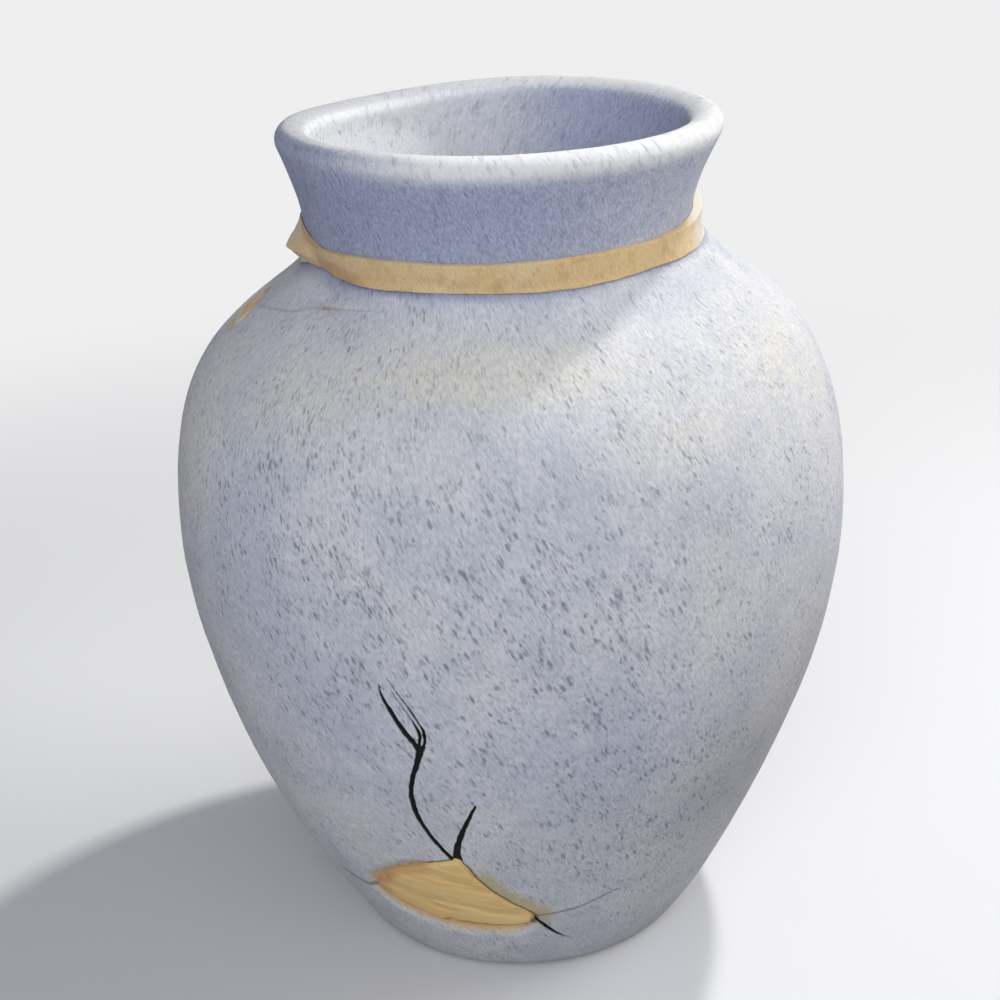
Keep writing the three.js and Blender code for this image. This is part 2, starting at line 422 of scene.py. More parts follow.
@dataclass(frozen=True)
class Hand:
    """How far the potter's hand left the vase from true. All layers follow it alike."""

    dip: float = 2.3 * MM
    dip_angle: float = -137.0
    dip_spread: float = 34.0
    dip_foot: float = 272 * MM
    dip_top: float = 300 * MM
    leans: Tuple[Lean, ...] = (
        Lean(-1.0 * MM, 10 * MM, 60 * MM, 65 * MM, 125 * MM),
        Lean(2.5 * MM, 208 * MM, 246 * MM, 252 * MM, 266 * MM),
        Lean(-1.1 * MM, 254 * MM, 266 * MM, 267 * MM, 296 * MM),
        Lean(0.5 * MM, 282 * MM, 300 * MM, 310 * MM, 320 * MM),
    )
    sway: float = 0.15 * MM
    sway_foot: float = 20 * MM
    sway_start: float = 0.8
    sway_twist: float = 60 * MM
    lump: float = 0.2 * MM
    lump_size: float = 47.5 * MM
    still_core: float = 30 * MM

    def shape(self, places: np.ndarray) -> np.ndarray:
        """Moves places as the hand left them.

        Args:
            places: Rows of x, y and z of the true form.

        Returns:
            The moved rows.
        """
        angle = angles_of(places)
        low = np.exp(-(turned_from(angle, self.dip_angle) / self.dip_spread) ** 2)
        moved = places.copy()
        moved[:, 2] -= self.dip * low * ramp(places[:, 2], self.dip_foot, self.dip_top)
        free = ramp(places[:, 2], 0, self.sway_foot)
        phase = 2 * np.radians(angle) + self.sway_start + places[:, 2] / self.sway_twist
        swell = self.sway * np.sin(phase) + self.lump * ripple(places, self.lump_size, 3.1, octaves=1)
        reach = np.maximum(reaches_of(places), self.still_core)
        moved[:, :2] *= (1 + free * swell / reach)[:, None]
        moved[:, 0] += sum(lean.at(places[:, 2]) for lean in self.leans)
        return moved


# Mesh work

def places_of(bm: Mesh) -> np.ndarray:
    """Rows of the places of a mesh's vertices, in their order."""
    bm.verts.index_update()
    return np.array([vertex.co[:] for vertex in bm.verts]).reshape(-1, 3)


def move_to(bm: Mesh, places: np.ndarray) -> None:
    """Puts a mesh's vertices at new places, in their order."""
    for vertex, place in zip(bm.verts, places):
        vertex.co = place


def spun(outline: np.ndarray, steps: int, closed: bool) -> Mesh:
    """Turns an outline round the vase's axis.

    Args:
        outline: Rows of radius and height.
        steps: Steps round the axis.
        closed: Whether the outline runs back to its first point.

    Returns:
        The turned mesh, with its seam and its poles merged.
    """
    bm = bmesh.new()
    corners = [bm.verts.new((radius, 0, height)) for radius, height in outline]
    edges = [bm.edges.new(pair) for pair in zip(corners, corners[1:])]
    if closed:
        edges.append(bm.edges.new((corners[-1], corners[0])))
    bmesh.ops.spin(bm, geom=corners + edges, cent=(0, 0, 0), axis=(0, 0, 1),
                   angle=FULL_TURN, steps=steps, use_merge=True)
    bmesh.ops.remove_doubles(bm, verts=bm.verts[:], dist=0.002 * MM)
    bmesh.ops.recalc_face_normals(bm, faces=bm.faces[:])
    return bm


def refine(bm: Mesh, wanted: np.ndarray) -> None:
    """Halves the edges between wanted vertices.

    Args:
        bm: The mesh.
        wanted: Whether each vertex is wanted.
    """
    edges = [edge for edge in bm.edges
             if wanted[edge.verts[0].index] and wanted[edge.verts[1].index]]
    bmesh.ops.subdivide_edges(bm, edges=edges, cuts=1, use_grid_fill=True)
    wide = [face for face in bm.faces if len(face.verts) > 4]
    bmesh.ops.triangulate(bm, faces=wide)


def nearest_on(places: np.ndarray, starts: np.ndarray,
               ends: np.ndarray) -> Tuple[np.ndarray, np.ndarray]:
    """Measures from places to straight stretches.

    Args:
        places: Rows of n places.
        starts: Rows of the m stretches' starts.
        ends: Rows of their ends.

    Returns:
        The n by m distances, and the share along each stretch of its nearest point.
    """
    run = ends - starts
    square = np.maximum((run * run).sum(1), TINY)
    share = np.clip(((places[:, None] - starts) * run).sum(2) / square, 0, 1)
    near = starts + share[:, :, None] * run
    return np.linalg.norm(places[:, None] - near, axis=2), share


# Cracks and worn places

CLEAR = 3.0


class Opening(Enum):
    """What a line in the finish is, which names its mark. A mark counts half widths from the
    line's middle and is CLEAR away from it."""

    CRACK = "crack"
    HAIRLINE = "hairline"


@dataclass(frozen=True)
class Crack:
    """A line in the finish: its angles and its heights in millimetres, and its widths along
    it. Places past its reach aren't measured, and a faint line counts as further off."""

    route: Table
    widths: Tuple[float, ...]
    kind: Opening = Opening.CRACK
    strength: float = 1.0
    steps: int = 5
    waver: float = 0.16 * MM
    waver_size: float = 2.2 * MM
    uneven: float = 0.25
    uneven_size: float = 1.7 * MM
    reach: float = 12 * MM
    most_off: float = 9.0
    fading: float = 1.5

    def line(self, side: Side) -> np.ndarray:
        """Lays the crack on the finished surface.

        Args:
            side: The body's side.

        Returns:
            Rows of x, y, z and half the width.
        """
        smooth = rounded(self.route, self.steps)
        places = np.array([side.at(angle, height * MM) for angle, height in smooth])
        seed = self.route[0][1]
        waver = np.stack([ripple(places, self.waver_size, seed + i) for i in range(3)], axis=1)
        share = np.linspace(0, 1, len(places))
        half = np.interp(share, np.linspace(0, 1, len(self.widths)), self.widths) / 2 * MM
        half *= 1 + self.uneven * ripple(places, self.uneven_size, seed + 5)
        return np.column_stack([places + self.waver * waver, half])

    def measure(self, places: np.ndarray, side: Side) -> Tuple[np.ndarray, np.ndarray]:
        """Measures places from the crack's middle.

        Args:
            places: Rows of x, y and z on the finished surface.
            side: The body's side.

        Returns:
            Each one's distance, and the same in half widths, more inside a faint line.
        """
        line = self.line(side)
        distance = np.full(len(places), self.reach)
        widths_off = np.full(len(places), self.most_off)
        low, high = line[:, :3].min(0) - self.reach, line[:, :3].max(0) + self.reach
        close = np.all((places > low) & (places < high), axis=1)
        if close.any():
            gaps, share = nearest_on(places[close], line[:-1, :3], line[1:, :3])
            half = line[:-1, 3] + share * (line[1:, 3] - line[:-1, 3])
            distance[close] = gaps.min(1)
            widths_off[close] = (gaps / half).min(1)
        widths_off = self.fading - (self.fading - widths_off) * self.strength
        return distance, np.minimum(widths_off, self.most_off)


@dataclass(frozen=True)
class WornPatch:
    """A place where the finish has come away: its outline across and up, in millimetres, the
    ways to its clean step, to its stained edge and to the haze beside it, the haze's strength,
    how far up and down its clay is bare where a film of finish is left on the rest, and a
    ledge in its clay."""

    angle: float
    height: float
    outline: Table
    step_towards: float
    stained: float = 135.0
    hazed: float = 12.0
    haze: float = 1.0
    bare: Optional[float] = None
    ledge: Table = ()
    ragged: float = 0.35 * MM
    ragged_size: float = 3.2 * MM
    margin: float = 12 * MM
    step_turns: Pair = (48.0, 85.0)
    above_all: float = 1.0

    def plane(self, side: Side) -> Tuple[np.ndarray, np.ndarray, np.ndarray, np.ndarray]:
        """Finds the patch's own plane on the surface.

        Args:
            side: The body's side.

        Returns:
            Its middle, and the ways round, up and out there.
        """
        middle = side.at(self.angle, self.height)
        turn = math.radians(self.angle)
        lean = side.lean(np.array([self.height]))[0]
        round_way = np.array([math.cos(turn), math.sin(turn), 0])
        out = np.array([lean[0] * math.sin(turn), -lean[0] * math.cos(turn), lean[1]])
        return middle, round_way, np.cross(out, round_way), out

    def edge(self) -> np.ndarray:
        """Draws the ragged outline.

        Returns:
            Rows across and up.
        """
        line = rounded(self.outline, steps=9, closed=True) * MM
        out = outward(line)
        flat = np.column_stack([line, np.full(len(line), self.height)])
        return line + self.ragged * ripple(flat, self.ragged_size, self.angle)[:, None] * out

    def local(self, places: np.ndarray, side: Side) -> np.ndarray:
        """Places as rows across, up and out from the patch's middle."""
        middle, round_way, up, out = self.plane(side)
        return (places - middle) @ np.stack([round_way, up, out], axis=1)

    def measure(self, places: np.ndarray, side: Side) -> Tuple[np.ndarray, np.ndarray]:
        """Measures places from the outline.

        Args:
            places: Rows of x, y and z near the finished surface.
            side: The body's side.

        Returns:
            The distance of each place, positive inside the patch, and the angle at which the
            outline lies from the patch's middle there, in degrees above level.
        """
        local = self.local(places, side)
        edge = self.edge()
        reach = np.abs(edge).max() + self.margin
        close = (np.abs(local[:, :2]).max(1) < reach) & (local[:, 2] > -reach)
        distance = np.full(len(places), -reach)
        if close.any():
            near = local[close, :2]
            ends = np.roll(edge, -1, axis=0)
            gaps, _ = nearest_on(near, edge, ends)
            rises = (edge[:, 1] > near[:, 1:2]) != (ends[:, 1] > near[:, 1:2])
            run = np.where(ends[:, 1] == edge[:, 1], TINY, ends[:, 1] - edge[:, 1])
            cross = edge[:, 0] + (near[:, 1:2] - edge[:, 1]) * (ends[:, 0] - edge[:, 0]) / run
            inside = (rises & (near[:, :1] < cross)).sum(1) % 2 == 1
            distance[close] = np.where(inside, gaps.min(1), -gaps.min(1))
        return distance, np.degrees(np.arctan2(local[:, 1], local[:, 0]))

    def snapped(self, places: np.ndarray, side: Side) -> np.ndarray:
        """Moves places onto the outline, along the patch's own plane.

        Args:
            places: Rows of x, y and z near the outline.
            side: The body's side.

        Returns:
            The moved rows.
        """
        _, round_way, up, _ = self.plane(side)
        local = self.local(places, side)[:, :2]
        edge = self.edge()
        ends = np.roll(edge, -1, axis=0)
        gaps, share = nearest_on(local, edge, ends)
        pick = gaps.argmin(1)
        along = share[np.arange(len(local)), pick][:, None]
        shift = edge[pick] + along * (ends[pick] - edge[pick]) - local
        return places + shift[:, :1] * round_way + shift[:, 1:] * up

    def towards(self, angles: np.ndarray, middle: float, full: float, gone: float) -> np.ndarray:
        """How much angles lie near a side of the patch: 1 up to one turn from it, 0 past another."""
        return 1 - ramp(np.abs(turned_from(angles, middle)), full, gone)

    def stepped(self, angles: np.ndarray) -> np.ndarray:
        """How much of a clean step the edge is at some angles, from feathered 0 to stepped 1."""
        return self.towards(angles, self.step_towards, *self.step_turns)

    def above_ledge(self, local: np.ndarray) -> np.ndarray:
        """Measures places from the ledge.

        Args:
            local: Rows across, up and out from the patch's middle.

        Returns:
            How far each place lies above the ledge, or a great height where there is none.
        """
        if not self.ledge:
            return np.full(len(local), self.above_all)
        line = rounded(self.ledge, steps=4) * MM
        return local[:, 1] - np.interp(local[:, 0], line[:, 0], line[:, 1])


CRACKS = (
    Crack(((-12.6, 66.5), (-15, 73), (-17.2, 81.1), (-18.7, 89.5), (-19.1, 98.4), (-18.4, 106.5),
           (-16.9, 115), (-16.2, 120.2)), (2.6, 1.75, 1.7, 1.8, 1.9, 1.7, 1.9, 2.3)),
    Crack(((-16.3, 118.8), (-17.1, 122.8), (-18.8, 128.7), (-20.3, 135.4), (-21.4, 140.5),
           (-21.6, 144.2)), (2.3, 2.1, 2.0, 1.7, 1.0, 0.3)),
    Crack(((-16.2, 118.8), (-15.4, 122.3), (-15.1, 126.5), (-15.7, 131), (-17.4, 137.6),
           (-19.3, 144), (-20.2, 147.5)), (2.0, 0.95, 1.2, 0.75, 0.6, 0.45, 0.2)),
    Crack(((-16.2, 118.8), (-16.1, 123.1), (-15.9, 126.9), (-17.1, 133.1), (-18.9, 139.7),
           (-19.9, 144)), (1.6, 0.9, 1.2, 0.5, 0.4, 0.15)),
    Crack(((-12.5, 66), (-12.3, 74.3), (-11, 82.3), (-9.4, 90), (-7.9, 96.8)),
          (3.4, 2.7, 1.9, 1.4, 0.8)),
    Crack(((0.8, 37.6), (4.5, 30.5), (7.6, 24.2), (12.2, 18.6)), (1.7, 1.6, 1.1, 0.3)),
    Crack(((-37.6, 39.7), (-42.3, 38.9), (-47.1, 39.7), (-51.6, 39.6)), (2.6, 2.3, 1.9, 0.8),
          Opening.HAIRLINE),
    Crack(((1.8, 36.3), (8, 37.5), (13.9, 39.6), (19.6, 43.8), (23.5, 45.4)),
          (1.7, 1.8, 1.7, 1.4, 0.5), Opening.HAIRLINE, strength=0.8),
    Crack(((-79.9, 240.3), (-72.9, 242.1), (-67.3, 243.4), (-62.6, 244.5), (-58.9, 246),
           (-55.7, 247.3), (-51.6, 248.1), (-47.5, 248.8), (-40.8, 249.6), (-32.4, 250.6)),
          (2.0, 1.6, 1.5, 1.7, 1.9, 1.5, 1.3, 1.3, 1.0, 0.5), Opening.HAIRLINE, strength=0.42),
)

PATCHES = (
    WornPatch(-18, 45 * MM, ((-29, -6), (-22, 6), (-10, 16), (3, 23.5), (10, 24), (14, 14),
                             (21, 1), (29, -12), (23, -20), (4, -20.5), (-15, -18), (-25, -13)),
              step_towards=32,
              ledge=((-26, -9), (-17.5, -12.6), (-11, -13.2), (-7.4, -15.2), (-5.2, -17.6),
                     (-1.6, -14.4), (1.5, -16.2), (8, -16.4), (15.6, -16.8), (22, -17))),
    WornPatch(-89, 237.5 * MM, ((9, -6), (9, 0), (5, 5.5), (-4, 7.5), (-12, 4), (-14, -3),
                                (-8, -8), (2, -9)), step_towards=60, stained=20, hazed=60,
              haze=0.25, bare=4.6 * MM),
)


# Soft clouds on the finish

class Tint(Enum):
    """What a cloud does to the finish."""

    CREAM = "cream"
    BLUE = "blue"
    SPECKLED = "speckled"
    # Painted grey shade.
    PAINTED_GREY_SHADE = "painted_grey_shade"


@dataclass(frozen=True)
class Cloud:
    """A soft cloud: where its middle lies and how far it spreads, in degrees and millimetres."""

    angle: float
    height: float
    wide: float
    tall: float
    strength: float = 1.0

    def cover(self, places: np.ndarray) -> np.ndarray:
        """How strongly it covers places, from 0 to its strength."""
        away = turned_from(angles_of(places), self.angle) / self.wide
        rise = (places[:, 2] / MM - self.height) / self.tall
        return self.strength * np.exp(-away * away - rise * rise)


# The cream clouds on the lit front and right of the shoulder are partly painted warm light, and the blue
# clouds on the shaded left and low front partly painted shade; the blue cloud at 256 mm, close under the
# strap, is painted shade. The rest are the finish's own mottling. The grey clouds, on the low right and the
# left, are painted shade.
CLOUDS = {
    Tint.CREAM: (Cloud(0, 237, 34, 9, 0.55), Cloud(-12, 238, 18, 8, 0.25),
                 Cloud(28, 217, 15, 12, 0.35), Cloud(62, 226, 22, 26, 0.5),
                 Cloud(31, 168, 7, 26, 0.3), Cloud(58, 108, 26, 52, 0.3),
                 Cloud(-44, 226, 16, 14, 0.45), Cloud(-72, 196, 14, 30, 0.5),
                 Cloud(150, 226, 30, 14, 0.6), Cloud(-140, 150, 20, 30, 0.4)),
    Tint.BLUE: (Cloud(-45, 180, 11, 34, 0.55), Cloud(12, 118, 22, 26, 0.6),
                Cloud(-31, 128, 15, 34, 0.55), Cloud(6, 190, 18, 24, 0.3),
                Cloud(-20, 256, 45, 6, 0.6), Cloud(122, 130, 26, 40, 0.6),
                Cloud(-112, 112, 22, 34, 0.6), Cloud(172, 180, 20, 30, 0.5)),
    Tint.SPECKLED: (Cloud(-4, 160, 34, 52), Cloud(-46, 200, 24, 40, 0.45),
                    Cloud(20, 82, 30, 36, 0.8), Cloud(180, 150, 50, 60, 0.8),
                    Cloud(-112, 190, 35, 40, 0.6), Cloud(100, 160, 35, 50, 0.6)),
    Tint.PAINTED_GREY_SHADE: (Cloud(50, 82, 30, 44, 0.45), Cloud(-76, 140, 22, 60, 0.22)),
}


def cloud_marks(places: np.ndarray) -> Marks:
    """How strongly the clouds of each kind cover places, as a mark for each kind."""
    covers = {tint: sum(cloud.cover(places) for cloud in clouds) for tint, clouds in CLOUDS.items()}
    return {tint.value: np.clip(cover, 0, 1) for tint, cover in covers.items()}


# Materials

def course_marks(places: np.ndarray, climb: np.ndarray, radius: float) -> Marks:
    """Lays a turned surface on a cylinder, so that a pattern keeps its shape up and down it."""
    flat = places[:, :2] * (radius / reaches_of(places))[:, None]
    return {"course": np.column_stack([flat, climb])}


class Recipe:
    """One procedural material, put together node by node."""

    def __init__(self, name: str) -> None:
        """Starts a material with its shader.

        Args:
            name: The material's name.
        """
        self.material = bpy.data.materials.new(name)
        self.material.use_nodes = True
        self.tree = self.material.node_tree
        self.shader = self.tree.nodes["Principled BSDF"]
        self.places = self.add("ShaderNodeTexCoord").outputs["Object"]
        self.course = self.places

    def follow(self, name: str) -> None:
        """Lays slanted patterns along coordinates stored on the piece's vertices."""
        self.course = self.add("ShaderNodeAttribute", attribute_name=name).outputs["Vector"]

    def add(self, kind: str, **settings: object) -> bpy.types.Node:
        """Adds a node.

        Args:
            kind: The node's type.
            **settings: Its settings, by name.

        Returns:
            The node.
        """
        node = self.tree.nodes.new(kind)
        for name, value in settings.items():
            setattr(node, name, value)
        return node

    def feed(self, socket: Socket, value: object) -> None:
        """Gives an input its value.

        Args:
            socket: The input.
            value: A socket to link it to, or a plain value.
        """
        if isinstance(value, Socket):
            self.tree.links.new(value, socket)
        else:
            socket.default_value = value

    def slanted(self, tilt: float, stretch: float) -> Socket:
        """Coordinates in which a pattern becomes slanted strokes.

        Args:
            tilt: Turn of the strokes from upright about the Y axis, in degrees.
            stretch: How much longer than wide they are.

        Returns:
            The coordinates.
        """
        node = self.add("ShaderNodeMapping", vector_type="TEXTURE")
        self.feed(node.inputs["Vector"], self.course)
        node.inputs["Rotation"].default_value = (0, math.radians(tilt), 0)
        node.inputs["Scale"].default_value = (1, 1, stretch)
        return node.outputs["Vector"]

    def noise(self, size: float, detail: float, vector: Optional[Socket] = None,
              rough: float = 0.5, shift: float = 0.0) -> Socket:
        """Adds soft noise.

        Args:
            size: Width of its lumps.
            detail: Number of finer layers.
            vector: Coordinates, or none for the plain ones.
            rough: Strength of the finer layers.
            shift: Moves the pattern, so that two of one size differ.

        Returns:
            Its value, mostly from 0.25 to 0.75.
        """
        node = self.add("ShaderNodeTexNoise", noise_dimensions="4D" if shift else "3D")
        self.feed(node.inputs["Vector"], vector or self.places)
        if shift:
            node.inputs["W"].default_value = shift
        node.inputs["Scale"].default_value = 1 / size
        node.inputs["Detail"].default_value = detail
        node.inputs["Roughness"].default_value = rough
        return node.outputs["Fac"]

    def cells(self, size: float, vector: Socket) -> Tuple[Socket, Socket]:
        """Adds scattered cells.

        Args:
            size: Width of a cell.
            vector: Coordinates.

        Returns:
            The distance from the nearest cell's middle, in cells, and a random share that is
            the same all over a cell.
        """
        node = self.add("ShaderNodeTexVoronoi", voronoi_dimensions="3D", feature="F1")
        self.feed(node.inputs["Vector"], vector)
        node.inputs["Scale"].default_value = 1 / size
        parts = self.add("ShaderNodeSeparateColor")
        self.feed(parts.inputs["Color"], node.outputs["Color"])
        return node.outputs["Distance"], parts.outputs["Red"]

    def span(self, value: Socket, low: object, high: object, start: float = 0.0,
             end: float = 1.0) -> Socket:
        """Eases a value from one range into another.

        Args:
            value: What is measured.
            low: Where the rise starts, as a number or a socket.
            high: Where it ends.
            start: Result at and below the start.
            end: Result at and above the end.

        Returns:
            The eased value.
        """
        node = self.add("ShaderNodeMapRange", interpolation_type="SMOOTHSTEP")
        self.feed(node.inputs["Value"], value)
        self.feed(node.inputs["From Min"], low)
        self.feed(node.inputs["From Max"], high)
        node.inputs["To Min"].default_value = start
        node.inputs["To Max"].default_value = end
        return node.outputs["Result"]

    def count(self, operation: str, first: object, second: object) -> Socket:
        """Works on two values with one Math node.

        Args:
            operation: The node's operation.
            first: A number or a socket.
            second: A number or a socket.

        Returns:
            The result.
        """
        node = self.add("ShaderNodeMath", operation=operation)
        self.feed(node.inputs[0], first)
        self.feed(node.inputs[1], second)
        return node.outputs[0]

    def times(self, first: object, second: object) -> Socket:
        """Multiplies two values."""
        return self.count("MULTIPLY", first, second)

    def plus(self, first: object, second: object) -> Socket:
        """Adds two values."""
        return self.count("ADD", first, second)

    def minus(self, first: object, second: object) -> Socket:
        """Takes the second value from the first."""
        return self.count("SUBTRACT", first, second)

    def most(self, first: object, second: object) -> Socket:
        """Takes the greater of two values."""
        return self.count("MAXIMUM", first, second)

    def blend(self, share: object, first: object, second: object,
              kind: str = "MIX") -> Socket:
        """Mixes two colours.

        Args:
            share: How much of the second, as a number or a socket.
            first: A colour or a socket.
            second: A colour or a socket.
            kind: How they mix.

        Returns:
            The mixed colour.
        """
        node = self.add("ShaderNodeMix", data_type="RGBA", blend_type=kind)
        self.feed(node.inputs["Factor"], share)
        for name, value in (("A", first), ("B", second)):
            self.feed(node.inputs[name], value if isinstance(value, Socket) else linear(value))
        return node.outputs["Result"]

    def mark(self, name: str) -> Socket:
        """Reads a value stored on the piece's vertices."""
        return self.add("ShaderNodeAttribute", attribute_name=name).outputs["Fac"]

    def relief(self, height: Socket, depth: float, strength: float = 1.0) -> Socket:
        """Turns a height into a bump.

        Args:
            height: The height, from 0 to 1.
            depth: What 1 stands for, in metres.
            strength: How much of it shows.

        Returns:
            The bumped normal.
        """
        node = self.add("ShaderNodeBump")
        node.inputs["Strength"].default_value = strength
        node.inputs["Distance"].default_value = depth
        self.feed(node.inputs["Height"], height)
        return node.outputs["Normal"]

    def done(self, colour: Socket, rough: object, normal: Optional[Socket] = None,
             specular: float = 0.3, sheen: float = 0.0) -> Material:
        """Links the finished parts to the shader.

        Args:
            colour: The base colour.
            rough: Roughness, as a number or a socket.
            normal: The bumped normal.
            specular: Level of its plain reflections.
            sheen: Weight of its fuzz.

        Returns:
            The material.
        """
        self.feed(self.shader.inputs["Base Color"], colour)
        self.feed(self.shader.inputs["Roughness"], rough)
        self.shader.inputs["Specular IOR Level"].default_value = specular
        self.shader.inputs["Sheen Weight"].default_value = sheen
        if normal:
            self.feed(self.shader.inputs["Normal"], normal)
        return self.material


def linear(colour: Colour) -> Tuple[float, float, float, float]:
    """Turns a colour on the 0 to 255 scale of a screen into the shader's own.

    Args:
        colour: Red, green and blue.

    Returns:
        Linear red, green and blue, and full cover.
    """
    shares = [value / 255 for value in colour]
    red, green, blue = (share / 12.92 if share <= 0.04045 else ((share + 0.055) / 1.055) ** 2.4
                        for share in shares)
    return red, green, blue, 1.0


@dataclass(frozen=True)
class StoneFinish:
    """The speckled, sandy finish of pale stone, blue-grey in places: its colours, then the
    sizes, lengths and strengths of its patterns. A stroke's length counts its widths."""

    name: str = "stone_finish"
    pale: Colour = (236, 236, 240)
    cream: Colour = (243, 239, 228)
    blue: Colour = (209, 215, 234)
    grey: Colour = (216, 219, 228)
    speck: Colour = (112, 118, 142)
    fleck: Colour = (250, 250, 250)
    # The lip's white is partly the lip's own paler finish and partly painted light. The shade colour is
    # painted shade, and also tints the neck's streaks.
    lip: Colour = (250, 250, 250)
    shade: Colour = (122, 126, 168)
    # A grey painted shade, on the lip's top and in clouds on the body.
    painted_grey_shade: Colour = (150, 151, 156)
    tan: Colour = (232, 202, 156)
    dust: Colour = (200, 202, 210)
    undusted: Colour = (255, 255, 255)
    crack: Colour = (30, 28, 28)
    hairline: Colour = (104, 106, 118)
    rust: Colour = (186, 148, 104)
    haze: Colour = (204, 190, 146)
    # A brown painted shadow on the coat's rim along the clean steps round the bare clay.
    painted_step_shadow: Colour = (116, 98, 68)
    wide_size: float = 30 * MM
    fine_size: float = 7 * MM
    mottle: float = 0.4
    brush_size: float = 1.6 * MM
    brush_length: float = 5.0
    brushed: float = 0.35
    streak_size: float = 2.4 * MM
    streak_length: float = 2.6
    streaks: float = 0.0
    grain_size: float = 0.75 * MM
    grain_length: float = 3.4
    grain: float = 0.55
    lip_grain: float = 0.25
    stroke_tilt: float = -22.0
    stroke_length: float = 3.2
    crowd_size: float = 10 * MM
    cell_size: float = 1.8 * MM
    cell_stretch: float = 1.1
    torn_size: float = 0.9 * MM
    speck_layers: Tuple[Tuple[float, float, float, float], ...] = (
        (1.35 * MM, 0.70, 0.56, 0.9), (0.9 * MM, 0.67, 0.53, 0.5))
    speckling: float = 0.8
    calm: float = 0.64
    fleck_size: float = 1.3 * MM
    blot_size: float = 1.9 * MM
    sand_size: float = 0.55 * MM
    lump_size: float = 3.2 * MM
    sand_share: float = 0.40
    lump_share: float = 0.75
    fleck_share: float = 0.18
    relief_depth: float = 0.42 * MM

    def material(self) -> Material:
        """Makes the material.

        Returns:
            The material.
        """
        mix = Recipe(self.name)
        mix.follow("course")
        strokes = mix.slanted(self.stroke_tilt, self.stroke_length)
        colour = self.ground(mix)
        pits, tint = self.specks(mix, strokes)
        colour = mix.blend(tint, colour, self.speck)
        colour, light = self.flecks(mix, colour, strokes)
        colour = self.wear(mix, colour)
        sand = mix.noise(self.sand_size, 3, strokes, 0.65)
        lumps = mix.noise(self.lump_size, 3, strokes, 0.6)
        height = mix.plus(mix.times(sand, self.sand_share), mix.times(lumps, self.lump_share))
        height = mix.plus(mix.minus(height, pits), mix.times(light, self.fleck_share))
        normal = mix.relief(height, self.relief_depth, 0.8)
        return mix.done(colour, 0.9, normal, specular=0.25)

    def ground(self, mix: Recipe) -> Socket:
        """Lays clouds of pale, blue and grey under everything else.

        Args:
            mix: The material in the making.

        Returns:
            Their colour.
        """
        wide = mix.noise(self.wide_size, 4, rough=0.6)
        fine = mix.noise(self.fine_size, 4, rough=0.6, shift=9.0)
        colour = mix.blend(mix.span(wide, 0.40, 0.66, 0, 0.8), self.pale, self.grey)
        colour = mix.blend(mix.span(fine, 0.45, 0.75, 0, 0.5), colour, self.grey)
        # The cream and blue clouds are partly painted warm light and painted shade.
        for name, tint in (("cream", self.cream), ("blue", self.blue)):
            ragged = mix.span(fine, 0.3, 0.6, 1 - self.mottle, 1 + 0.75 * self.mottle)
            ragged = mix.times(mix.mark(name), ragged)
            colour = mix.blend(mix.span(ragged, 0.0, 1.0), colour, tint)
        brushed = mix.noise(self.brush_size, 3, mix.slanted(self.stroke_tilt, self.brush_length))
        # The lip mark whitens the lip, partly its own paler finish and partly painted light, and paints
        # light inside the mouth.
        lip = mix.plus(mix.mark("lip"), mix.times(mix.minus(brushed, 0.5), self.brushed))
        colour = mix.blend(mix.span(lip, 0.05, 0.95), colour, self.lip)
        # Painted shade: close under the strap on the body, and on the neck's left.
        colour = mix.blend(mix.mark("shade"), colour, self.shade)
        # Painted grey shade.
        colour = mix.blend(mix.mark("painted_grey_shade"), colour, self.painted_grey_shade)
        # The neck's streaks are its own, drawn in the shade colour.
        if self.streaks:
            along = mix.slanted(self.stroke_tilt, self.streak_length)
            streak = mix.noise(self.streak_size, 3, along, 0.6, shift=4.0)
            colour = mix.blend(mix.span(streak, 0.52, 0.74, 0, self.streaks), colour, self.shade)
        grain = mix.noise(self.grain_size, 2, mix.slanted(self.stroke_tilt, self.grain_length), 0.7)
        dust = mix.blend(mix.span(grain, 0.3, 0.7), self.dust, self.undusted)
        share = mix.span(mix.mark("lip"), 0, 1, self.grain, self.lip_grain * self.grain)
        return mix.blend(share, colour, dust, "MULTIPLY")

    def specks(self, mix: Recipe, strokes: Socket) -> Tuple[Socket, Socket]:
        """Strews dark slanted strokes in clusters, which are small pits.

        Args:
            mix: The material in the making.
            strokes: The slanted coordinates.

        Returns:
            The pits' depth and the strokes' cover.
        """
        crowd = mix.span(mix.noise(self.crowd_size, 3, rough=0.65, shift=2.0), 0.30, 0.60)
        crowd = mix.times(crowd, mix.span(mix.mark("speckled"), 0, 1, self.calm, 1.0))
        longer = mix.slanted(self.stroke_tilt, self.cell_stretch * self.stroke_length)
        near, chance = mix.cells(self.cell_size, longer)
        torn = mix.times(mix.minus(mix.noise(self.torn_size, 1, strokes), 0.5), 0.5)
        seldom = mix.span(crowd, 0, 1, 0.92, 0.05)
        size = mix.span(chance, seldom, mix.plus(seldom, 0.6), 0.0, 0.38)
        pits = mix.span(mix.minus(size, mix.plus(near, torn)), 0.0, 0.27, 0, 0.85)
        for width, rare, common, cover in self.speck_layers:
            start = mix.span(crowd, 0, 1, rare, common)
            layer = mix.span(mix.noise(width, 1, strokes), start, mix.plus(start, 0.2), 0, cover)
            pits = mix.most(pits, layer)
        strength = mix.span(mix.mark("speckled"), 0, 1, self.calm * self.speckling, self.speckling)
        return pits, mix.times(pits, strength)

    def flecks(self, mix: Recipe, colour: Socket, strokes: Socket) -> Tuple[Socket, Socket]:
        """Strews tiny light flecks.

        Args:
            mix: The material in the making.
            colour: The colour under them.
            strokes: The slanted coordinates.

        Returns:
            The colour with the flecks and their cover.
        """
        near, chance = mix.cells(self.fleck_size, strokes)
        size = mix.span(chance, 0.5, 1.0, 0.0, 0.22)
        cover = mix.span(mix.minus(size, near), 0.0, 0.16, 0, 0.5 * self.speckling)
        return mix.blend(cover, colour, self.fleck), cover

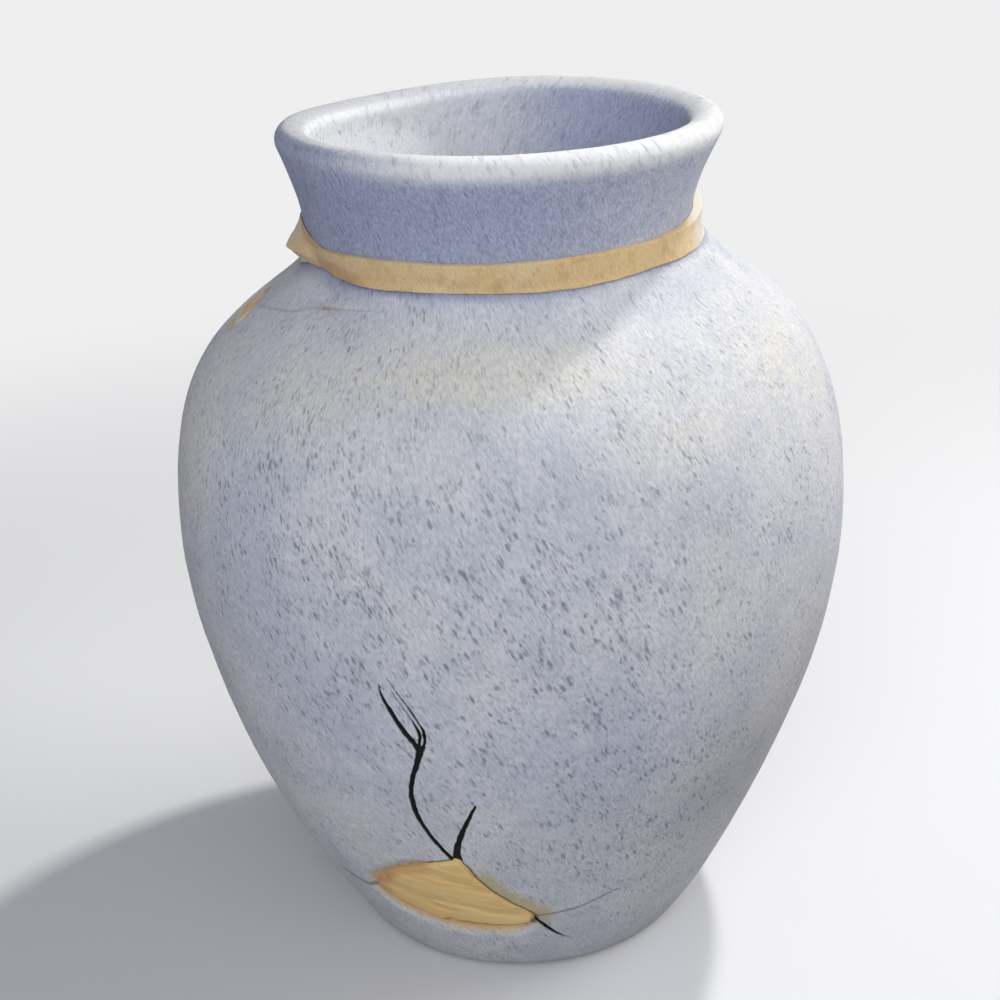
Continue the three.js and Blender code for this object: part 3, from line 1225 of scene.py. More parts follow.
    def wear(self, mix: Recipe, colour: Socket) -> Socket:
        """Adds stains, a painted shadow along the clean steps round the bare clay, hairlines and cracks,
        from the marks stored on the coat.

        Args:
            mix: The material in the making.
            colour: The clean finish.

        Returns:
            The worn colour.
        """
        blot = mix.noise(self.blot_size, 3, rough=0.6, shift=6.0)
        for name, tint, most in (("haze", self.haze, 0.9), ("tan", self.tan, 0.95),
                                 ("rust", self.rust, 0.9), ("painted_step_shadow", self.painted_step_shadow, 0.85)):
            cover = mix.times(mix.mark(name), mix.span(blot, 0.25, 0.65, 0.55, 1.25))
            colour = mix.blend(mix.span(cover, 0.04, 0.9, 0, most), colour, tint)
        edge = mix.times(mix.minus(blot, 0.5), 0.5)
        hair = mix.plus(mix.mark("hairline"), edge)
        colour = mix.blend(mix.span(hair, 1.5, 0.1, 0, 0.74), colour, self.hairline)
        open_crack = mix.plus(mix.mark("crack"), mix.times(edge, 0.5))
        return mix.blend(mix.span(open_crack, 1.2, 0.8), colour, self.crack)


@dataclass(frozen=True)
class BareClay:
    """Tan earthenware, ridged where the finish has come away."""

    name: str = "clay"
    body: Colour = (255, 216, 148)
    light: Colour = (255, 224, 160)
    deep: Colour = (220, 170, 110)
    rust: Colour = (218, 170, 122)
    residue: Colour = (232, 224, 214)
    # A painted shadow in the trench along the clean step.
    gap: Colour = (112, 84, 56)
    grain_size: float = 0.7 * MM
    cloud_size: float = 9 * MM
    relief_depth: float = 0.35 * MM

    def material(self) -> Material:
        """Makes the material.

        Returns:
            The material.
        """
        mix = Recipe(self.name)
        grain = mix.noise(self.grain_size, 4, rough=0.7)
        cloud = mix.noise(self.cloud_size, 3, shift=3.0)
        colour = mix.blend(mix.span(cloud, 0.4, 0.65), self.body, self.light)
        colour = mix.blend(mix.span(grain, 0.50, 0.80, 0, 0.2), colour, self.deep)
        # The ridge mark paints shade: darker tan in the furrows' troughs and below the ledge, and the dark
        # gap colour below the ledge and along the clean step.
        colour = mix.blend(mix.span(mix.mark("ridge"), 0.55, 0.0, 0, 0.8), colour, self.deep)
        colour = mix.blend(mix.span(mix.mark("ridge"), 0.0, -1.2, 0, 0.9), colour, self.gap)
        colour = mix.blend(mix.span(mix.mark("residue"), 0.0, 1.0), colour, self.residue)
        colour = mix.blend(mix.span(mix.mark("rust"), 0.1, 0.9, 0, 0.85), colour, self.rust)
        normal = mix.relief(grain, self.relief_depth, 0.7)
        return mix.done(colour, 0.93, normal, specular=0.2)


@dataclass(frozen=True)
class Suede:
    """Tan suede with a short slanted nap."""

    name: str = "suede"
    nap: Colour = (231, 199, 147)
    light: Colour = (243, 224, 186)
    deep: Colour = (196, 156, 104)
    # The cream is a painted highlight on the strap's right end.
    cream: Colour = (238, 232, 214)
    rust: Colour = (186, 134, 92)
    nap_tilt: float = -24.0
    nap_length: float = 5.0
    strand_size: float = 0.42 * MM
    cloud_size: float = 6 * MM
    wide_size: float = 26 * MM
    relief_depth: float = 0.30 * MM

    def material(self) -> Material:
        """Makes the material.

        Returns:
            The material.
        """
        mix = Recipe(self.name)
        hairs = mix.slanted(self.nap_tilt, self.nap_length)
        strand = mix.noise(self.strand_size, 3, hairs, 0.7)
        cloud = mix.noise(self.cloud_size, 3, shift=1.5)
        wide = mix.noise(self.wide_size, 2, shift=5.0)
        colour = mix.blend(mix.span(wide, 0.42, 0.62, 0, 0.45), self.nap, self.light)
        colour = mix.blend(mix.span(cloud, 0.48, 0.72, 0, 0.5), colour, self.deep)
        colour = mix.blend(mix.span(strand, 0.50, 0.70, 0, 0.6), colour, self.deep)
        colour = mix.blend(mix.span(strand, 0.47, 0.30, 0, 0.6), colour, self.light)
        # The cream mark is a painted highlight on the strap's right end; on the knot it lightens its
        # middle.
        colour = mix.blend(mix.mark("cream"), colour, self.cream)
        colour = mix.blend(mix.span(mix.mark("rust"), 0.05, 1.0, 0, 0.7), colour, self.rust)
        normal = mix.relief(strand, self.relief_depth, 0.8)
        return mix.done(colour, 0.95, normal, specular=0.15, sheen=0.25)


@dataclass(frozen=True)
class InnerGlaze:
    """A thin satin glaze inside the body."""

    name: str = "inner_glaze"
    body: Colour = (188, 193, 206)
    deep: Colour = (158, 165, 184)
    cloud_size: float = 18 * MM
    ripple_size: float = 4 * MM
    relief_depth: float = 0.3 * MM

    def material(self) -> Material:
        """Makes the material.

        Returns:
            The material.
        """
        mix = Recipe(self.name)
        cloud = mix.noise(self.cloud_size, 4)
        colour = mix.blend(mix.span(cloud, 0.35, 0.65), self.body, self.deep)
        normal = mix.relief(mix.noise(self.ripple_size, 3), self.relief_depth, 0.4)
        return mix.done(colour, mix.span(cloud, 0.3, 0.7, 0.28, 0.42), normal, specular=0.5)


@dataclass(frozen=True)
class DriedSlip:
    """The ring of slip that beds the neck in the body."""

    name: str = "dried_slip"
    body: Colour = (176, 143, 95)
    deep: Colour = (146, 114, 70)
    cloud_size: float = 2.5 * MM
    relief_depth: float = 0.4 * MM

    def material(self) -> Material:
        """Makes the material.

        Returns:
            The material.
        """
        mix = Recipe(self.name)
        cloud = mix.noise(self.cloud_size, 4)
        colour = mix.blend(mix.span(cloud, 0.35, 0.65), self.body, self.deep)
        return mix.done(colour, 0.95, mix.relief(cloud, self.relief_depth), specular=0.2)


# Pieces

def patchy(places: np.ndarray, size: float, seed: float) -> np.ndarray:
    """A factor for each place, mostly from 0.5 to 1.1, which makes a stain uneven."""
    return 0.8 + 0.5 * ripple(places, size, seed)


def present(bm: Mesh, name: str, material: Material,
            node: str, hand: Hand, marks: Optional[Marks] = None, sharp: float = 38.0) -> None:
    """Makes a finished piece of a mesh and puts it in its node's place.

    Args:
        bm: The piece's mesh, in the true form.
        name: The piece's name.
        material: Its material.
        node: The solid that it stands for.
        hand: What the potter's hand did to it.
        marks: Values to store on its vertices.
        sharp: Angle from which its edges stay sharp, in degrees.
    """
    move_to(bm, hand.shape(places_of(bm)))
    bmesh.ops.recalc_face_normals(bm, faces=bm.faces[:])
    mesh = bpy.data.meshes.new(name)
    bm.to_mesh(mesh)
    bm.free()
    for mark, values in (marks or {}).items():
        kind, part = ("FLOAT", "value") if values.ndim == 1 else ("FLOAT_VECTOR", "vector")
        mesh.attributes.new(mark, kind, "POINT").data.foreach_set(part, values.astype(np.float32).ravel())
    mesh.shade_smooth()
    mesh.set_sharp_from_angle(angle=math.radians(sharp))
    mesh.materials.append(material)
    piece = bpy.data.objects.new(name, mesh)
    bpy.context.scene.collection.objects.link(piece)
    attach(piece, "root")
    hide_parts(node)
    LOG.info("%s stands for %s with %d faces", name, node, len(mesh.polygons))


@dataclass
class BodyCoat:
    """The stone finish on the body: a sheet opened at the worn places and grooved along the
    cracks, then given its thickness."""

    shape: VaseShape
    side: Side
    hand: Hand
    material: Material
    steps: int = 180
    crack_bands: Tuple[float, ...] = (8 * MM, 4.5 * MM, 2.6 * MM, 1.9 * MM)
    hair_bands: Tuple[float, ...] = (7 * MM, 4 * MM, 2.0 * MM, 0.0)
    patch_bands: Tuple[float, ...] = (9 * MM, 7.5 * MM, 6 * MM, 0.0)
    crack_depth: float = 1.25 * MM
    hair_depth: float = 0.22 * MM
    lit_edge: float = 0.10 * MM
    groove_walls: Pair = (0.45, 1.05)
    hair_walls: Pair = (0.2, 1.1)
    lit_place: float = 1.5
    lit_width: float = 0.4
    thin_edge: float = 0.3 * MM
    step_edge: float = 1.35 * MM
    least_left: float = 0.25 * MM
    rim_reach: float = 2 * MM
    feather: float = 5.0 * MM
    feather_torn: float = 0.35
    feather_lost: float = 0.72
    torn_size: float = 4 * MM
    stain_torn: float = 0.3
    stain_turns: Pair = (25.0, 70.0)
    tan_reach: Pair = (-1.5 * MM, 5.6 * MM)
    tan_lost: float = 0.9
    rust_share: float = 0.6
    haze_turns: Pair = (22.0, 54.0)
    haze_reach: Pair = (1.0 * MM, 11 * MM)
    haze_all_round: float = 0.10
    haze_torn: float = 0.4
    # How far from a clean step the painted shadow on the coat's rim reaches.
    step_shadow_reach: Pair = (0.4 * MM, 2.0 * MM)
    orange: Cloud = Cloud(-50, 248.2, 9, 1.1, 0.42)
    orange_reach: float = 2.9
    # Where the painted shade under the strap lies: a thin line under its edge, and a wider band at its
    # left.
    shade_line: Pair = (0.2 * MM, 2.2 * MM)
    shade_wide: Pair = (1 * MM, 7 * MM)
    shade_angle: float = -62.0
    shade_turns: Pair = (8.0, 34.0)
    course_radius: float = 100 * MM
    sway: float = 0.14 * MM
    sway_size: float = 13 * MM

    def build(self) -> None:
        """Makes the piece."""
        bm = spun(between(self.shape.body_side(), self.shape.coat_hem, self.shape.root_height),
                  self.steps, closed=False)
        for crack_band, hair_band, patch_band in zip(self.crack_bands, self.hair_bands, self.patch_bands):
            self.refine_once(bm, crack_band, hair_band, patch_band)
        for patch in PATCHES:
            self.open_patch(bm, patch)
        bmesh.ops.solidify(bm, geom=bm.faces[:], thickness=self.shape.coat)
        marks = self.weather(bm)
        present(bm, "stone_coat_body", self.material, "body_coat", self.hand, marks)

    def settle(self, bm: Mesh, places: np.ndarray) -> None:
        """Puts the sheet's vertices on the finished surface, from a row near it for each."""
        nought = np.zeros(len(places))
        move_to(bm, self.side.seat(places, nought, nought))

    def refine_once(self, bm: Mesh, crack_band: float, hair_band: float, patch_band: float) -> None:
        """Halves the faces near the cracks and the worn places' outlines.

        Args:
            bm: The coat's sheet.
            crack_band: How near a crack, or 0 for none.
            hair_band: How near a hairline, or 0 for none.
            patch_band: How near an outline, or 0 for none.
        """
        places = places_of(bm)
        wanted = np.zeros(len(places), bool)
        bands = {Opening.CRACK: crack_band, Opening.HAIRLINE: hair_band}
        lines = [(crack, bands[crack.kind]) for crack in CRACKS]
        for line, band in lines + [(patch, patch_band) for patch in PATCHES]:
            if band:
                wanted |= np.abs(line.measure(places, self.side)[0]) < band
        refine(bm, wanted)
        self.settle(bm, places_of(bm))

    def open_patch(self, bm: Mesh, patch: WornPatch) -> None:
        """Takes the sheet away inside a worn place's outline.

        Args:
            bm: The coat's sheet.
            patch: The worn place.
        """
        faces = bm.faces[:]
        middles = np.array([face.calc_center_median()[:] for face in faces])
        inside = patch.measure(middles, self.side)[0] > 0
        bmesh.ops.delete(bm, geom=[face for face, gone in zip(faces, inside) if gone], context="FACES")
        places = places_of(bm)
        near = np.abs(patch.measure(places, self.side)[0]) < self.rim_reach
        rim = np.array([vertex.is_boundary for vertex in bm.verts]) & near
        places[rim] = patch.snapped(places[rim], self.side)
        self.settle(bm, places)

    def weather(self, bm: Mesh) -> Marks:
        """Grooves the cracks, thins the edges and marks the wear.

        Args:
            bm: The coat, with its thickness.

        Returns:
            The marks for the material.
        """
        places = places_of(bm)
        inner = self.side.depth(places) > self.shape.coat / 2
        old = np.where(inner, self.shape.coat, 0.0)
        depth = old - np.where(inner, 0, self.sway * ripple(places, self.sway_size, 1.7))
        surface = self.side.seat(places, old, np.zeros(len(places)))
        marks = self.crack_marks(surface)
        groove = self.grooves(marks)
        for patch in PATCHES:
            thinned, stains = self.worn_edge(patch, surface)
            groove = np.maximum(groove, thinned)
            for name, values in stains.items():
                marks[name] = np.maximum(marks.get(name, 0.0), values)
        depth = depth + np.where(inner, 0, np.minimum(groove, self.shape.coat - self.least_left))
        move_to(bm, self.side.seat(places, old, depth))
        spot = self.orange.cover(surface) * (marks[Opening.HAIRLINE.value] < self.orange_reach)
        marks["rust"] = np.maximum(marks["rust"], spot)
        # Painted shade close under the strap.
        marks["shade"] = self.strap_shade(surface)
        marks["lip"] = np.zeros(len(places))
        climb = self.side.climb(surface[:, 2])
        return {**marks, **course_marks(surface, climb, self.course_radius), **cloud_marks(surface)}

    def crack_marks(self, surface: np.ndarray) -> Marks:
        """Measures places from the cracks and the hairlines.

        Args:
            surface: Rows of x, y and z on the finished surface.

        Returns:
            A mark for each kind of line.
        """
        marks = {kind.value: np.full(len(surface), CLEAR) for kind in Opening}
        for crack in CRACKS:
            name = crack.kind.value
            marks[name] = np.minimum(marks[name], crack.measure(surface, self.side)[1])
        return marks

    def grooves(self, marks: Marks) -> np.ndarray:
        """Works out how deep the cracks and hairlines are cut, between edges that stand up.

        Args:
            marks: The marks of both kinds of line.

        Returns:
            A depth for each place.
        """
        off = marks[Opening.CRACK.value]
        cut = self.crack_depth * (1 - ramp(off, *self.groove_walls))
        cut += self.hair_depth * (1 - ramp(marks[Opening.HAIRLINE.value], *self.hair_walls))
        return cut - self.lit_edge * np.exp(-((off - self.lit_place) / self.lit_width) ** 2)

    def worn_edge(self, patch: WornPatch, surface: np.ndarray) -> Tuple[np.ndarray, Marks]:
        """Works out how the finish thins and is stained round a worn place, and where a painted shadow
        lines its step.

        Args:
            patch: The worn place.
            surface: Rows of x, y and z on the finished surface.

        Returns:
            The depth that has worn off at each place, and the marks of the stains and of the painted step
            shadow.
        """
        distance, angles = patch.measure(surface, self.side)
        stepped = patch.stepped(angles)
        off = np.maximum(-distance, 0)
        torn = ripple(surface, self.torn_size, 8.0)
        reach = self.feather * (1 + self.feather_torn * torn) * (1 - self.feather_lost * stepped)
        edge = self.thin_edge + (self.step_edge - self.thin_edge) * stepped
        thinned = (self.shape.coat - edge) * (1 - ramp(off / reach, 0, 1))
        stained = patch.towards(angles, patch.stained, *self.stain_turns)
        hazed = patch.towards(angles, patch.hazed, *self.haze_turns)
        ragged = off * (1 + self.stain_torn * torn)
        near = 1 - ramp(ragged, *self.tan_reach)
        wide = (1 - ramp(off, *self.haze_reach)) * (self.haze_all_round + (1 - self.haze_all_round) * hazed)
        return thinned, {"tan": near * (1 - self.tan_lost * stepped),
                         "rust": near * self.rust_share * stained,
                         "haze": patch.haze * wide * (1 + self.haze_torn * torn),
                         # The last mark is the painted shadow along the clean step.
                         "painted_step_shadow": (1 - ramp(ragged, *self.step_shadow_reach)) * stepped}

    def strap_shade(self, surface: np.ndarray) -> np.ndarray:
        """Works out the painted shade close under the strap: how strongly the finish is darkened there.

        Args:
            surface: Rows of x, y and z on the finished surface.

        Returns:
            A mark for each place.
        """
        angle = angles_of(surface)
        below = NeckStrap.edges(angle)[1] - surface[:, 2]
        line = (1 - ramp(below, *self.shade_line)) * (0.55 + 0.35 * ramp(-angle, -30, 60))
        near = 1 - ramp(np.abs(angle - self.shade_angle), *self.shade_turns)
        return np.maximum(line, 0.55 * (1 - ramp(below, *self.shade_wide)) * near)


def plain_clay(count: int) -> Marks:
    """Marks of clay with no painted relief shade and no stain, for a number of vertices."""
    return {"ridge": np.ones(count), "rust": np.zeros(count), "residue": np.zeros(count)}


@dataclass
class ClayBody:
    """The thrown clay body with its turned foot. It is ridged where the finish has gone."""

    shape: VaseShape
    side: Side
    hand: Hand
    material: Material
    steps: int = 150
    bands: Tuple[float, ...] = (8 * MM, 5 * MM, 2 * MM, 0.6 * MM)
    patch_reach: float = 11 * MM
    outer_reach: float = 1.2 * MM
    outer_foot: float = 4 * MM
    least_cover: float = 0.25 * MM
    rise: float = 1.0 * MM
    brim: float = 0.55 * MM
    terrace: float = 0.9 * MM
    furrow: float = 0.27 * MM
    furrow_size: float = 2.4 * MM
    furrow_slope: float = -11.0
    furrow_length: float = 0.35
    furrow_bend: float = 2.4
    rough_size: float = 7 * MM
    ledge_rough: float = 0.5 * MM
    ledge_rise: Pair = (-0.3 * MM, 0.5 * MM)
    ledge_ends: Pair = (0.8 * MM, 2.4 * MM)
    # The painted shadow below the ledge: where it darkens towards the ledge, and where it fades above it.
    ledge_shadow: Pair = (-4.2 * MM, -0.5 * MM)
    ledge_shadow_fade: Pair = (0.0, 1.2 * MM)
    swell_reach: float = 2.5 * MM
    rust_reach: Pair = (-1.0 * MM, 6.5 * MM)
    rust_turns: Pair = (22.0, 62.0)
    rust_left: Pair = (-27 * MM, -15 * MM)
    rust_left_share: float = 0.75
    # The painted shadow along the clean step: how far it reaches, and how dark it is.
    gap_shadow_reach: Pair = (0.3 * MM, 1.3 * MM)
    gap_shadow: float = 1.6
    film: float = 0.45
    film_edge: Pair = (-1.6 * MM, 1.2 * MM)

    def outline(self) -> np.ndarray:
        """Draws the body's section: foot ring, outside, rebate, inside and floor.

        Returns:
            Rows of radius and height.
        """
        shape = self.shape
        side = shape.body_side()
        outside = between(inset(side, shape.clay_depth), 0, shape.root_height)
        ledge = shape.root_height - shape.rebate
        inside = between(inset(side, shape.clay_inside), shape.floor, ledge)[::3]
        heel = outside[0, 0] - shape.clearance
        ring = heel - shape.foot_ring
        foot = [(0, shape.foot_recess), (ring - shape.foot_recess, shape.foot_recess),
                (ring, 0), (heel, 0)]
        joint = [(shape.rebate_radius, shape.root_height), (shape.rebate_radius, ledge)]
        return np.concatenate([foot, outside, joint, inside[::-1], [(0, shape.floor)]])

    def build(self) -> None:
        """Makes the piece."""
        bm = spun(self.outline(), self.steps, closed=False)
        for band in self.bands:
            places = places_of(bm)
            outer = self.outer(places)
            wanted = np.zeros(len(places), bool)
            for patch in PATCHES:
                wanted |= outer & (patch.measure(places, self.side)[0] > -band)
            refine(bm, wanted)
            places = places_of(bm)
            depth = np.where(self.outer(places), self.shape.clay_depth, 0)
            seated = self.side.seat(places, depth, depth)
            move_to(bm, np.where(self.near_patch(places)[:, None], seated, places))
        marks = self.ridge(bm)
        present(bm, "clay_body_thrown", self.material, "clay_body", self.hand, marks)

    def outer(self, places: np.ndarray) -> np.ndarray:
        """Whether places lie on the outside of the wall, above the foot."""
        off = np.abs(self.side.depth(places) - self.shape.clay_depth)
        return (off < self.outer_reach) & (places[:, 2] > self.outer_foot)

    def near_patch(self, places: np.ndarray) -> np.ndarray:
        """Whether places lie on the outside, in or round a worn place."""
        near = [patch.measure(places, self.side)[0] > -self.patch_reach for patch in PATCHES]
        return np.any(near, axis=0) & self.outer(places)

    def ridge(self, bm: Mesh) -> Marks:
        """Raises the clay inside the worn places in ledges and furrows.

        Args:
            bm: The body's mesh.

        Returns:
            The marks for the material.
        """
        places = places_of(bm)
        old = np.full(len(places), self.shape.clay_depth)
        depth = old.copy()
        raised = np.zeros(len(places), bool)
        marks = plain_clay(len(places))
        for patch in PATCHES:
            distance, angles = patch.measure(places, self.side)
            chosen = (distance > 0) & self.outer(places)
            raised |= chosen
            lift, bare = self.bare_clay(patch, patch.local(places[chosen], self.side),
                                        distance[chosen], angles[chosen])
            depth[chosen] = np.maximum(self.shape.clay_depth - lift, self.least_cover)
            for name, values in bare.items():
                marks[name][chosen] = values
        seated = self.side.seat(places, old, depth)
        move_to(bm, np.where(raised[:, None], seated, places))
        return marks

    def bare_clay(self, patch: WornPatch, local: np.ndarray, distance: np.ndarray,
                  angles: np.ndarray) -> Tuple[np.ndarray, Marks]:
        """Works out the ledge, the furrows, their painted shade and the stains of the clay in a worn place.

        Args:
            patch: The worn place.
            local: Rows across, up and out from the patch's middle.
            distance: How far inside the outline each of them lies.
            angles: The angle of each from the patch's middle, in degrees above level.

        Returns:
            How far the clay is raised at each place, and its marks.
        """
        slope = math.radians(self.furrow_slope)
        along = local[:, 0] * math.cos(slope) + local[:, 1] * math.sin(slope)
        across = local[:, 1] * math.cos(slope) - local[:, 0] * math.sin(slope)
        drawn = np.column_stack([along * self.furrow_length, across, np.zeros(len(local))])
        rough = ripple(drawn, self.rough_size, 2.0, octaves=3)
        wave = np.sin(across / self.furrow_size + self.furrow_bend * rough)
        above = patch.above_ledge(local) + self.ledge_rough * rough
        ledge = ramp(above, *self.ledge_rise) * ramp(distance + 0.8 * MM * rough, *self.ledge_ends)
        swell = ramp(distance, 0, self.swell_reach)
        stepped = patch.stepped(angles)
        brim = self.brim * (1 - stepped)
        lift = brim + (self.rise - brim) * swell * 0.6 + self.terrace * ledge
        lift += self.furrow * wave * swell
        # Painted shade: below the ledge, along the clean step, and in the furrows' troughs by the wave.
        under = ramp(above, *self.ledge_shadow) * (1 - ramp(above, *self.ledge_shadow_fade))
        gap = stepped * (1 - ramp(distance, *self.gap_shadow_reach))
        crest = np.clip(0.66 + 0.32 * wave - under, -0.3, 1) - self.gap_shadow * gap
        edge = 1 - ramp(distance + 1.2 * MM * rough, *self.rust_reach)
        stained = patch.towards(angles, patch.stained, *self.rust_turns)
        left = 1 - ramp(local[:, 0] + 1.5 * MM * rough, *self.rust_left)
        marks = {"ridge": crest, "rust": np.clip(edge * stained + self.rust_left_share * left, 0, 1)}
        if patch.bare:
            ends = np.abs(local[:, 1]) + 1.2 * MM * rough - patch.bare
            marks["residue"] = self.film + (1 - self.film) * ramp(ends, *self.film_edge)
        return lift, marks


@dataclass
class NeckPieces:
    """The neck with its rolled lip: the clay collar, its finish, and the slip under it."""

    shape: VaseShape
    hand: Hand
    stone: Material
    clay: Material
    slip: Material
    steps: int = 240
    course_radius: float = 68 * MM
    sway: float = 0.10 * MM
    sway_size: float = 9 * MM
    ruffle_top: float = 8 * MM
    lip_rise: Pair = (288.5 * MM, 296.5 * MM)
    lip_reach: Pair = (62.5 * MM, 66 * MM)
    # Where the painted grey shade rises on the lip's top.
    grey_shade_rise: Pair = (296.5 * MM, 299.0 * MM)
    shade_end: Pair = (284.5 * MM, 290.5 * MM)
    inside_depth: Pair = (-3.5 * MM, -1.5 * MM)
    # By angle round the vase: the lip's own white with painted light at its front and right, the painted
    # grey shade on its top, the painted shade on the neck's left, the painted light inside the mouth, and
    # the neck's blue, deepened as painted shade on its shaded sides.
    lip_white_and_painted_light: Table = ((-180, 0.8), (-120, 0.5), (-80, 0.0), (-55, 0.1), (-32, 0.6), (-12, 1.0),
                        (70, 1.0), (120, 0.9), (180, 0.8))
    lip_grey_shade: Table = ((-180, 0.4), (-120, 0.55), (-60, 0.5), (-30, 0.2), (-10, 0.0), (40, 0.05),
                       (90, 0.25), (180, 0.4))
    shaded: Table = ((-180, 0.0), (-100, 0.1), (-35, 0.13), (0, 0.03), (30, 0.0), (180, 0.0))
    painted_light_inside: Table = ((-180, 0.55), (-150, 0.7), (-110, 0.7), (-60, 0.6), (0, 0.2), (60, 0.0),
                           (120, 0.0), (160, 0.25), (180, 0.55))
    blue_and_painted_shade_outside: Table = ((-180, 0.7), (-30, 1.0), (5, 0.8), (35, 0.6), (70, 0.45), (180, 0.7))
    blue_and_painted_shade_inside: Table = ((-180, 0.5), (-150, 0.3), (-60, 0.15), (0, 0.3), (60, 1.0), (120, 1.0),
                          (160, 0.7), (180, 0.5))

    def build(self) -> None:
        """Makes the three pieces."""
        self.coat()
        self.collar()
        self.bed()

    def coat(self) -> None:
        """Makes the finish up the neck, round the lip and down the mouth."""
        skin = self.shape.neck_skin()
        under = inset(skin, self.shape.coat)[::-1]
        bm = spun(np.concatenate([skin, under]), self.steps, closed=True)
        places = places_of(bm)
        rings = np.column_stack([reaches_of(places), places[:, 2]])
        gap, share = nearest_on(rings, skin[:-1], skin[1:])
        nearest = gap.argmin(1)
        climbs = climb_of(skin)
        climb = climbs[nearest] + share[np.arange(len(rings)), nearest] * np.diff(climbs)[nearest]
        places = self.ruffled(places, gap.min(1) < self.shape.coat / 2)
        move_to(bm, places)
        marks = self.coat_marks(places, rings[:, 0])
        marks.update(course_marks(places, climb, self.course_radius))
        present(bm, "stone_coat_neck", self.stone, "neck_coat", self.hand, marks)

    def ruffled(self, places: np.ndarray, shown: np.ndarray) -> np.ndarray:
        """Makes the shown side uneven: upwards on the lip, and outwards lower down.

        Args:
            places: Rows of x, y and z.
            shown: Whether each place lies on the shown side.

        Returns:
            The moved rows.
        """
        moved = places.copy()
        push = self.sway * ripple(places, self.sway_size, 4.4)
        top = ramp(places[:, 2], self.shape.vase_height - self.ruffle_top, self.shape.vase_height)
        moved[:, 2] += np.where(shown, push * top, 0)
        moved[:, :2] *= (1 + np.where(shown, push * (1 - top), 0) / reaches_of(places))[:, None]
        return moved

    def coat_marks(self, places: np.ndarray, reach: np.ndarray) -> Marks:
        """Marks the white lip with its painted light, the painted grey shade on the lip's top, the painted
        shade on the left side, and the blue inside with painted light on its left and painted shade on its
        right.

        Args:
            places: Rows of x, y and z of the uneven finish.
            reach: Distance of each from the axis before it was made uneven.

        Returns:
            The marks for the material.
        """
        height = places[:, 2]
        angle = angles_of(places)
        marks = {kind.value: np.full(len(places), CLEAR) for kind in Opening}
        marks.update({name: np.zeros(len(places)) for name in ("rust", "haze", "tan", "painted_step_shadow")})
        marks.update(cloud_marks(places))
        # The lip's own white, with painted light at its front and right.
        lip = ramp(height, *self.lip_rise) * ramp(reach, *self.lip_reach) * all_round(self.lip_white_and_painted_light, angle)
        # Painted light on the mouth's inside, most on the left.
        within = 1 - ramp(reach - np.interp(height, *self.side_line()), *self.inside_depth)
        marks["lip"] = np.maximum(lip, within * all_round(self.painted_light_inside, angle))
        # Painted grey shade on the lip's top.
        marks["painted_grey_shade"] = ramp(height, *self.grey_shade_rise) * all_round(self.lip_grey_shade, angle)
        # Painted shade on the neck's left.
        marks["shade"] = all_round(self.shaded, angle) * (1 - ramp(height, *self.shade_end))
        # The neck's blue, deepened as painted shade on its left outside and on its right inside.
        outside = all_round(self.blue_and_painted_shade_outside, angle)
        marks["blue"] = outside + within * (all_round(self.blue_and_painted_shade_inside, angle) - outside)
        return marks

    def side_line(self) -> Tuple[np.ndarray, np.ndarray]:
        """Lists the heights and the radii of the neck's outside."""
        side = self.shape.neck_side()
        return side[:, 1], side[:, 0]

    def collar(self) -> None:
        """Makes the thrown clay of the neck, with the spigot that sits in the body's rebate."""
        shape = self.shape
        spigot = shape.rebate_radius - shape.clearance
        outline = np.concatenate([inset(shape.neck_skin(), shape.clay_depth)[::2],
                                  [(spigot, shape.spigot_foot), (spigot, shape.neck_foot)]])
        bm = spun(outline, self.steps // 2, closed=True)
        marks = plain_clay(len(bm.verts))
        present(bm, "clay_neck", self.clay, "neck_collar", self.hand, marks)

    def bed(self) -> None:
        """Makes the flat ring of slip under the spigot."""
        shape = self.shape
        spigot = shape.rebate_radius - shape.clearance
        inner = shape.bore + shape.clay_depth
        top = shape.slip_bottom + shape.slip
        outline = np.array([(spigot, shape.slip_bottom), (spigot, top), (inner, top),
                            (inner, shape.slip_bottom)])
        bm = spun(outline, self.steps // 2, closed=True)
        present(bm, "slip_bed", self.slip, "luting_ring", self.hand)


@dataclass
class GlazeLiner:
    """The glaze over floor, belly and shoulder inside."""

    shape: VaseShape
    hand: Hand
    material: Material
    steps: int = 120

    def build(self) -> None:
        """Makes the piece."""
        shape = self.shape
        side = shape.body_side()
        low = shape.floor + shape.clearance
        top = shape.root_height - shape.rebate
        depth = shape.clay_inside + shape.clearance
        outside = between(inset(side, depth), low, top)[::2]
        inside = between(inset(side, depth + shape.glaze), low + shape.glaze, top)[::2]
        outline = np.concatenate([[(0, low)], outside, inside[::-1], [(0, low + shape.glaze)]])
        bm = spun(outline, self.steps, closed=False)
        present(bm, "inner_glaze", self.material, "glaze_liner", self.hand)


@dataclass(frozen=True)
class StrapLay:
    """How the strap lies at one angle: how far its edges stand above the solid's, and how far
    its face stands out there, in millimetres."""

    angle: float
    top: float
    bottom: float
    top_out: float = 0.0
    bottom_out: float = 0.0


STRAP_LAYS = tuple(StrapLay(*row) for row in (
    (-180, 0, 0), (-115, 0.2, 0), (-100, 0.8, -0.6, -0.5, -0.2), (-90, 1.8, -2.2, -1.5, -0.7),
    (-80, 2.4, -3.2, -1.9, -0.8), (-72, 0.6, -0.8, -0.8, -0.3), (-66, -0.6, 0.1), (-60, -1.7, 0.5),
    (-53, -1.4, -0.6), (-43, -0.5, -1.4), (-35, -0.2, -1.3), (-28, 0, -0.8), (-17, 0, -0.5),
    (0, 0, -0.5), (17, 0.3, -0.5), (30, 0.5, 0.1), (42, 0.5, 0.8), (54, 0.5, 0.6),
    (68, 0.8, 0.6, 0.3, -0.4), (80, 2.0, 0.8, 1.0, -1.2), (92, 2.7, 0.8, 1.4, -1.2),
    (106, 2.0, 0.5, 0.9, -0.6), (130, 0.4, 0), (180, 0, 0),
))


